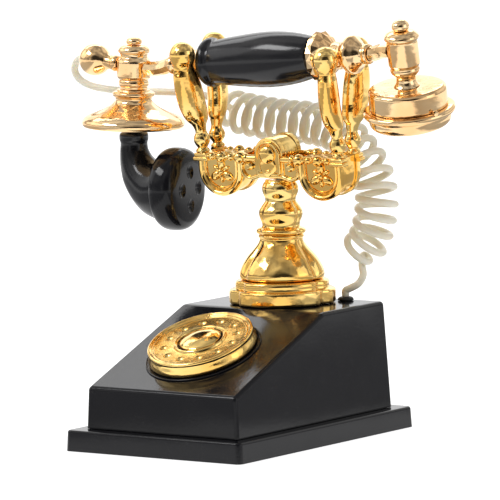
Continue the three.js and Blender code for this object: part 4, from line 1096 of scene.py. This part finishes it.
# %% [markdown]
# ## Mouth end
#
# At the left a turned head stands across the bar with a finial on top, a ball for counterweight at
# the side and a wide bell below. From the bell a black speaking horn hangs down and curls toward the
# speaker's mouth, closed by a cap with four shallow speech dimples. Heads and bell are lathe work.
# The horn is a circle swept along its bend, each ring square to the path.

# %% Mouth head
mouth_head = lathe([
    (0, 14.6), (4.4, 14.5), (7.5, 13.9), (9.4, 12.8), (10.4, 11.2), (10.4, 9.8), (9.5, 8.8), (9.0, 7.6),
    (9.2, 6.2), (10.0, 5.2), (10.8, 4.2), (11.2, 2.8), (11.2, -6.4), (10.6, -7.6), (9.4, -8.8), (9.9, -9.8),
    (9.9, -12.2), (9.2, -13.2), (9.2, -14.8), (0, -14.8),
], steps=64, edge=0.3)
finish_piece("mouth_head_turned", mouth_head, MOUTH, pale_gold, "handset", "mouth_head")

mouth_finial = lathe([
    (0, 14.9), (4.5, 14.9), (5.1, 15.6), (5.25, 16.5), (5.0, 17.5), (4.2, 18.5), (2.8, 19.15), (1.2, 19.4),
    (0, 19.4),
], steps=40, edge=0.15)
finish_piece("mouth_finial_turned", mouth_finial, MOUTH, pale_gold, "handset", "mouth_finial")

end_ball = lathe([
    (0, -43.0), (2.6, -42.7), (5.6, -41.4), (8.2, -39.2), (9.9, -36.3), (10.55, -33.0), (10.3, -29.8),
    (9.2, -27.0), (7.6, -24.8), (6.2, -23.2), (5.3, -21.8), (4.85, -20.0), (4.7, -18.2), (4.9, -16.8),
    (5.4, -15.6), (5.4, -14.2), (4.9, -12.8), (4.4, -12.0), (0, -12.0),
], steps=56, edge=0.3)
finish_piece("end_ball_turned", end_ball, MOUTH @ turn("Y", 94.2), pale_gold, "handset", "end_ball")

mouth_bell = lathe([
    (0, -15.1), (11.0, -15.1), (11.5, -16.2), (13.0, -16.6), (14.0, -17.4), (14.1, -18.6), (13.4, -19.7),
    (12.4, -20.6), (12.1, -22.0), (13.0, -23.8), (16.0, -26.2), (20.6, -28.7), (26.0, -30.9), (30.4, -32.8),
    (33.2, -34.8), (34.35, -37.0), (34.0, -38.9), (33.0, -40.1), (31.8, -40.1), (30.8, -39.2), (28, -36.2),
    (16, -29.6), (9, -25.4), (0, -25.4),
], steps=96, edge=0.35)
finish_piece("mouth_bell_turned", mouth_bell, MOUTH, pale_gold, "handset", "mouth_bell")

entry = lathe([
    (0, 10.9), (2.4, 10.7), (4.2, 10.1), (4.5, 10.9), (4.3, 12.0), (3.6, 13.0), (3.15, 14.8),
    (3.1, ENTRY_LENGTH), (0, ENTRY_LENGTH),
], steps=36, edge=0.25)
finish_piece("cord_entry_turned", entry, CORD_ENTRY, pale_gold, "handset", "cord_entry")
print("mouth head, finial, ball, bell and cord entry are turned")

# %% Horn
HORN_MOUTH = -80.5
HORN_ROWS = [
    # out, height, radius
    (0, -25.8, 6.8), (0, -37, 7.0), (0, -43, 7.2), (0, -44.0, 8.9), (0, -45.0, 9.6), (0, -48.6, 9.6),
    (0, -50.0, 9.1), (0, -52.4, 9.1), (0.2, -57, 9.8), (2, -64, 11.6), (5.6, -70.6, 14.1), (11, -75.8, 16.9),
    (17, -79.3, 19.7), (22, HORN_MOUTH, 21.2), (26.4, HORN_MOUTH, 22),
]


def build_horn():
    rows = flowing(HORN_ROWS, 4)
    stands = []
    for before, (out, height, radius), after in zip([rows[0], *rows], rows, [*rows[1:], rows[-1]]):
        lean = math.degrees(math.atan2(after[0] - before[0], before[1] - after[1]))
        stands.append(shift(out, 0, height) @ turn("Y", 180 - lean) @ Matrix.Scale(radius, 4))
    return swept(stands, 56)


finish_piece("speaking_horn", build_horn(), HORN, worn_black, "handset", "mouth_horn", crease=50)

speech_cap = lathe([
    (0, 26.8), (22.5, 26.8), (22.5, 22.6), (23.8, 22.8), (25.6, 24.0), (26.9, 26.2), (27.5, 29.2),
    (27.4, 34.0), (26.8, 36.6), (25.6, 38.6), (23.8, 39.9), (21.2, 40.8), (17, 41.3), (11, 41.6), (5, 41.75),
    (0, 41.8),
], steps=96, edge=0.3)
speech_dimples = [ball(7.4, turn("Z", 90 * i) @ Vector((11.4, 0, 47.2)), rings=24) for i in range(4)]
finish_piece(
    "speech_cap", carved(speech_cap, *speech_dimples), HORN @ shift(0, 0, HORN_MOUTH) @ turn("Y", 90), black,
    "handset", "mouth_cap",
)
print("horn and speech cap hang below the bell")

# %% [markdown]
# ## Ear end
#
# The right end mirrors the left with a taller finial, and carries the flat round ear cup. A screwed
# cap with a wide rolled flange closes the cup and holds the receiver; five small holes in it let the
# sound out. A cut lug on the flange is the catch. The lug is an icosphere of twenty faces, sharp.

# %% Ear head and cup
ear_head = lathe([
    (0, 15), (3.2, 14.95), (6.2, 14.6), (8.8, 13.7), (10.7, 12.2), (11.4, 10.8), (11.2, 9.6), (10.5, 8.8),
    (10.1, 8.0), (10.2, 7.0), (10.2, -7.4), (9.7, -8.6), (9.2, -9.6), (9.6, -11.4), (9.1, -13.0),
    (7.8, -14.6), (6.6, -16.0), (6.2, -17.6), (6.5, -19.4), (7.3, -21.0), (8.4, -22.2), (8.4, -22.4),
    (0, -22.4),
], steps=64, edge=0.3)
finish_piece("ear_head_turned", ear_head, EAR, pale_gold, "handset", "ear_head")

ear_finial = lathe([
    (0, 15.3), (4.6, 15.3), (5.5, 16.3), (5.8, 17.6), (5.5, 19.0), (4.6, 20.4), (3.2, 21.4), (1.6, 21.9),
    (0, 22.0),
], steps=40, edge=0.15)
finish_piece("ear_finial_turned", ear_finial, EAR, pale_gold, "handset", "ear_finial")

ear_cup = lathe([
    (0, -22.7), (21.6, -22.7), (23.6, -23.0), (24.9, -23.9), (25.4, -25.2), (25.5, -27), (25.5, -36.2),
    (23.3, -36.2), (23.3, -25.4), (0, -25.4),
], steps=96, edge=0.4)
finish_piece("ear_cup_turned", ear_cup, EAR, pale_gold, "handset", "ear_cup")

ear_cap = lathe([
    (0, -33.8), (20, -33.8), (20, -36.5), (26.6, -36.5), (28.4, -36.8), (29.6, -37.5), (29.95, -38.6),
    (29.8, -39.8), (29.0, -40.7), (27.8, -41.1), (27.0, -41.7), (26.7, -42.8), (26.7, -44.4),
    (26.3, -46.2), (25.2, -47.8), (23.4, -49.0), (21.4, -49.7), (19.6, -49.6), (0, -48.7),
], steps=96, edge=0.35)
hole_places = [turn("Z", 72 * i) @ Vector((6.5, 0, 0)) for i in range(5)]
sound_holes = [pin(1.4, -54, -30, shift(*place), 24) for place in hole_places]
lug = bmesh.new()
bmesh.ops.create_icosphere(lug, subdivisions=1, radius=2.4)
bmesh.ops.translate(lug, vec=turn("Z", -20) @ Vector((28.4, 0, -36.4)), verts=lug.verts)
holed_cap = joined(carved(ear_cap, *sound_holes), lug)
finish_piece("ear_cap_turned", holed_cap, EAR, pale_gold, "handset", "ear_cap")
print("ear end: head, finial, cup and cap")

# %% [markdown]
# ## Finishes on the CAD nodes that stay
#
# What hides inside the case keeps its CAD shape, which is right for brackets, bells and boards. Each
# node comes with a plain colour named after its slot in the record, and that colour is exchanged for
# the workshop finish of the same slot. Nodes that a detailed piece replaces are hidden and skipped.

# %% Dress the remaining nodes
WORKSHOP = {"steel": steel, "raw_brass": brass, "board": board, "felt": felt}
dressed = []
for name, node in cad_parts.items():
    if node.hide_render:
        continue
    for holder in node.material_slots:
        holder.material = WORKSHOP[holder.material.name]
    dressed.append(name)
print(len(dressed), "CAD nodes stay, in workshop finishes:", ", ".join(dressed))

# %% [markdown]
# ## Floor and lights
#
# The photograph shows a plain white sheet that runs on behind the telephone and bright soft lights.
# Gold and gloss black show little colour of their own, only what they mirror, so they need dark
# places as much as lights. The world is a white tent with grey folds, and the room behind the camera
# is dark. The floor glows, as a lit acrylic sheet does, which keeps the background white and the
# shadow under the plinth faint. The black walls mirror the floor beside the camera's lane, so the
# sheet's glow carries painted shade there, close to the telephone. Five soft lamps add the bright
# shapes on the gold.

# %% Floor
LANE_SIDE = (0.813, 0.582, 0)
# These numbers place the two patches of painted shade on the floor's glow: how far aside and how far out.
LANE_EDGE, PAINTED_SHADE_BEYOND = 0.20, 0.32
PAINTED_SHADE_REACH, FULL_GLOW_BEYOND = 0.9, 1.7
FLOOR_RADIUS = 14


def glowing_sheet_with_painted_shade():
    """Glows evenly, but for two patches of painted shade beside the lane that the camera looks along."""
    finish = Finish("glowing_sheet_painted_shade", Roughness=0.6, Emission_Strength=0.95)
    tone = finish.blend(finish.noise(3, 1), (0.30, 0.30, 0.30, 1), (0.33, 0.33, 0.33, 1))
    place = finish.node("ShaderNodeTexCoord", output="Object")
    across = finish.vectors("DOT_PRODUCT", place, LANE_SIDE)
    aside = finish.node("ShaderNodeMath", {"operation": "ABSOLUTE"}, {0: across})
    away = finish.vectors("LENGTH", place)
    # Painted shade: the glow drops to dark grey in two patches beside the camera's lane near the telephone,
    # so the black walls mirror a darker floor.
    painted_shade = finish.between(aside, LANE_EDGE, PAINTED_SHADE_BEYOND) * finish.between(away, FULL_GLOW_BEYOND, PAINTED_SHADE_REACH)
    glow_with_painted_shade = finish.blend(painted_shade, (1, 1, 1, 1), (0.16, 0.16, 0.17, 1))
    return finish.feed(Base_Color=tone, Emission_Color=glow_with_painted_shade)


sheet_form = bmesh.new()
bmesh.ops.create_circle(sheet_form, cap_ends=True, radius=FLOOR_RADIUS, segments=96)
sheet_mesh = bpy.data.meshes.new("sheet")
sheet_form.to_mesh(sheet_mesh)
sheet_form.free()
sheet_mesh.materials.append(glowing_sheet_with_painted_shade())
floor = bpy.data.objects.new("floor", sheet_mesh)
bpy.context.scene.collection.objects.link(floor)
print("floor radius", FLOOR_RADIUS, "m")

# %% White tent
ROOM_SIDE = (0.58, -0.79, 0.18)


def pitch_tent():
    """A world of folded white cloth, dark on the side of the room."""
    world = bpy.data.worlds.new("studio")
    world.use_nodes = True
    tent = Net(world.node_tree)
    ray = tent.node("ShaderNodeTexCoord", output="Generated")
    waves = tent.node("ShaderNodeTexNoise", None, {"Vector": ray, "Scale": 1.7, "Detail": 2.0})
    cloth = tent.blend(tent.between(waves, 0.32, 0.68), (0.25, 0.25, 0.26, 1), (0.95, 0.94, 0.92, 1))
    facing = tent.vectors("DOT_PRODUCT", ray, ROOM_SIDE)
    shown = tent.blend(tent.between(facing, 0.72, 0.95), cloth, (0.03, 0.03, 0.03, 1))
    tent.tree.links.new(shown.socket, tent.tree.nodes["Background"].inputs["Color"])
    return world


bpy.context.scene.world = pitch_tent()
print("world:", bpy.context.scene.world.name)

# %% Soft lamps
TARGET = Vector((0, 0.02, 0.14))


def softbox(name, direction, distance, wide, high, radiance):
    """A rectangular lamp that faces the telephone from a direction; radiance is its brightness as seen."""
    lamp = bpy.data.lights.new(name, "AREA")
    lamp.shape, lamp.size, lamp.size_y = "RECTANGLE", wide, high
    lamp.energy = radiance * wide * high * math.pi
    holder = bpy.data.objects.new(name, lamp)
    aim = Vector(direction).normalized()
    facing = aim.to_track_quat("Z", "Y").to_matrix().to_4x4()
    holder.matrix_world = Matrix.Translation(TARGET + aim * distance) @ facing
    holder.visible_camera = False
    bpy.context.scene.collection.objects.link(holder)


softbox("behind_low", (-0.58, 0.81, 0.31), 2.4, 3.0, 1.50, 0.85)
softbox("behind_high", (-0.58, 0.50, 0.74), 2.4, 2.2, 0.56, 2.3)
softbox("left", (-0.85, -0.25, 0.42), 1.5, 1.1, 0.8, 0.9)
softbox("right", (0.95, 0.20, 0.35), 1.5, 0.8, 1.0, 0.8)
softbox("spark", (-0.42, -0.55, 0.72), 1.4, 0.62, 0.34, 9)
bpy.context.scene.view_settings.view_transform = "Standard"
print("five soft lights")
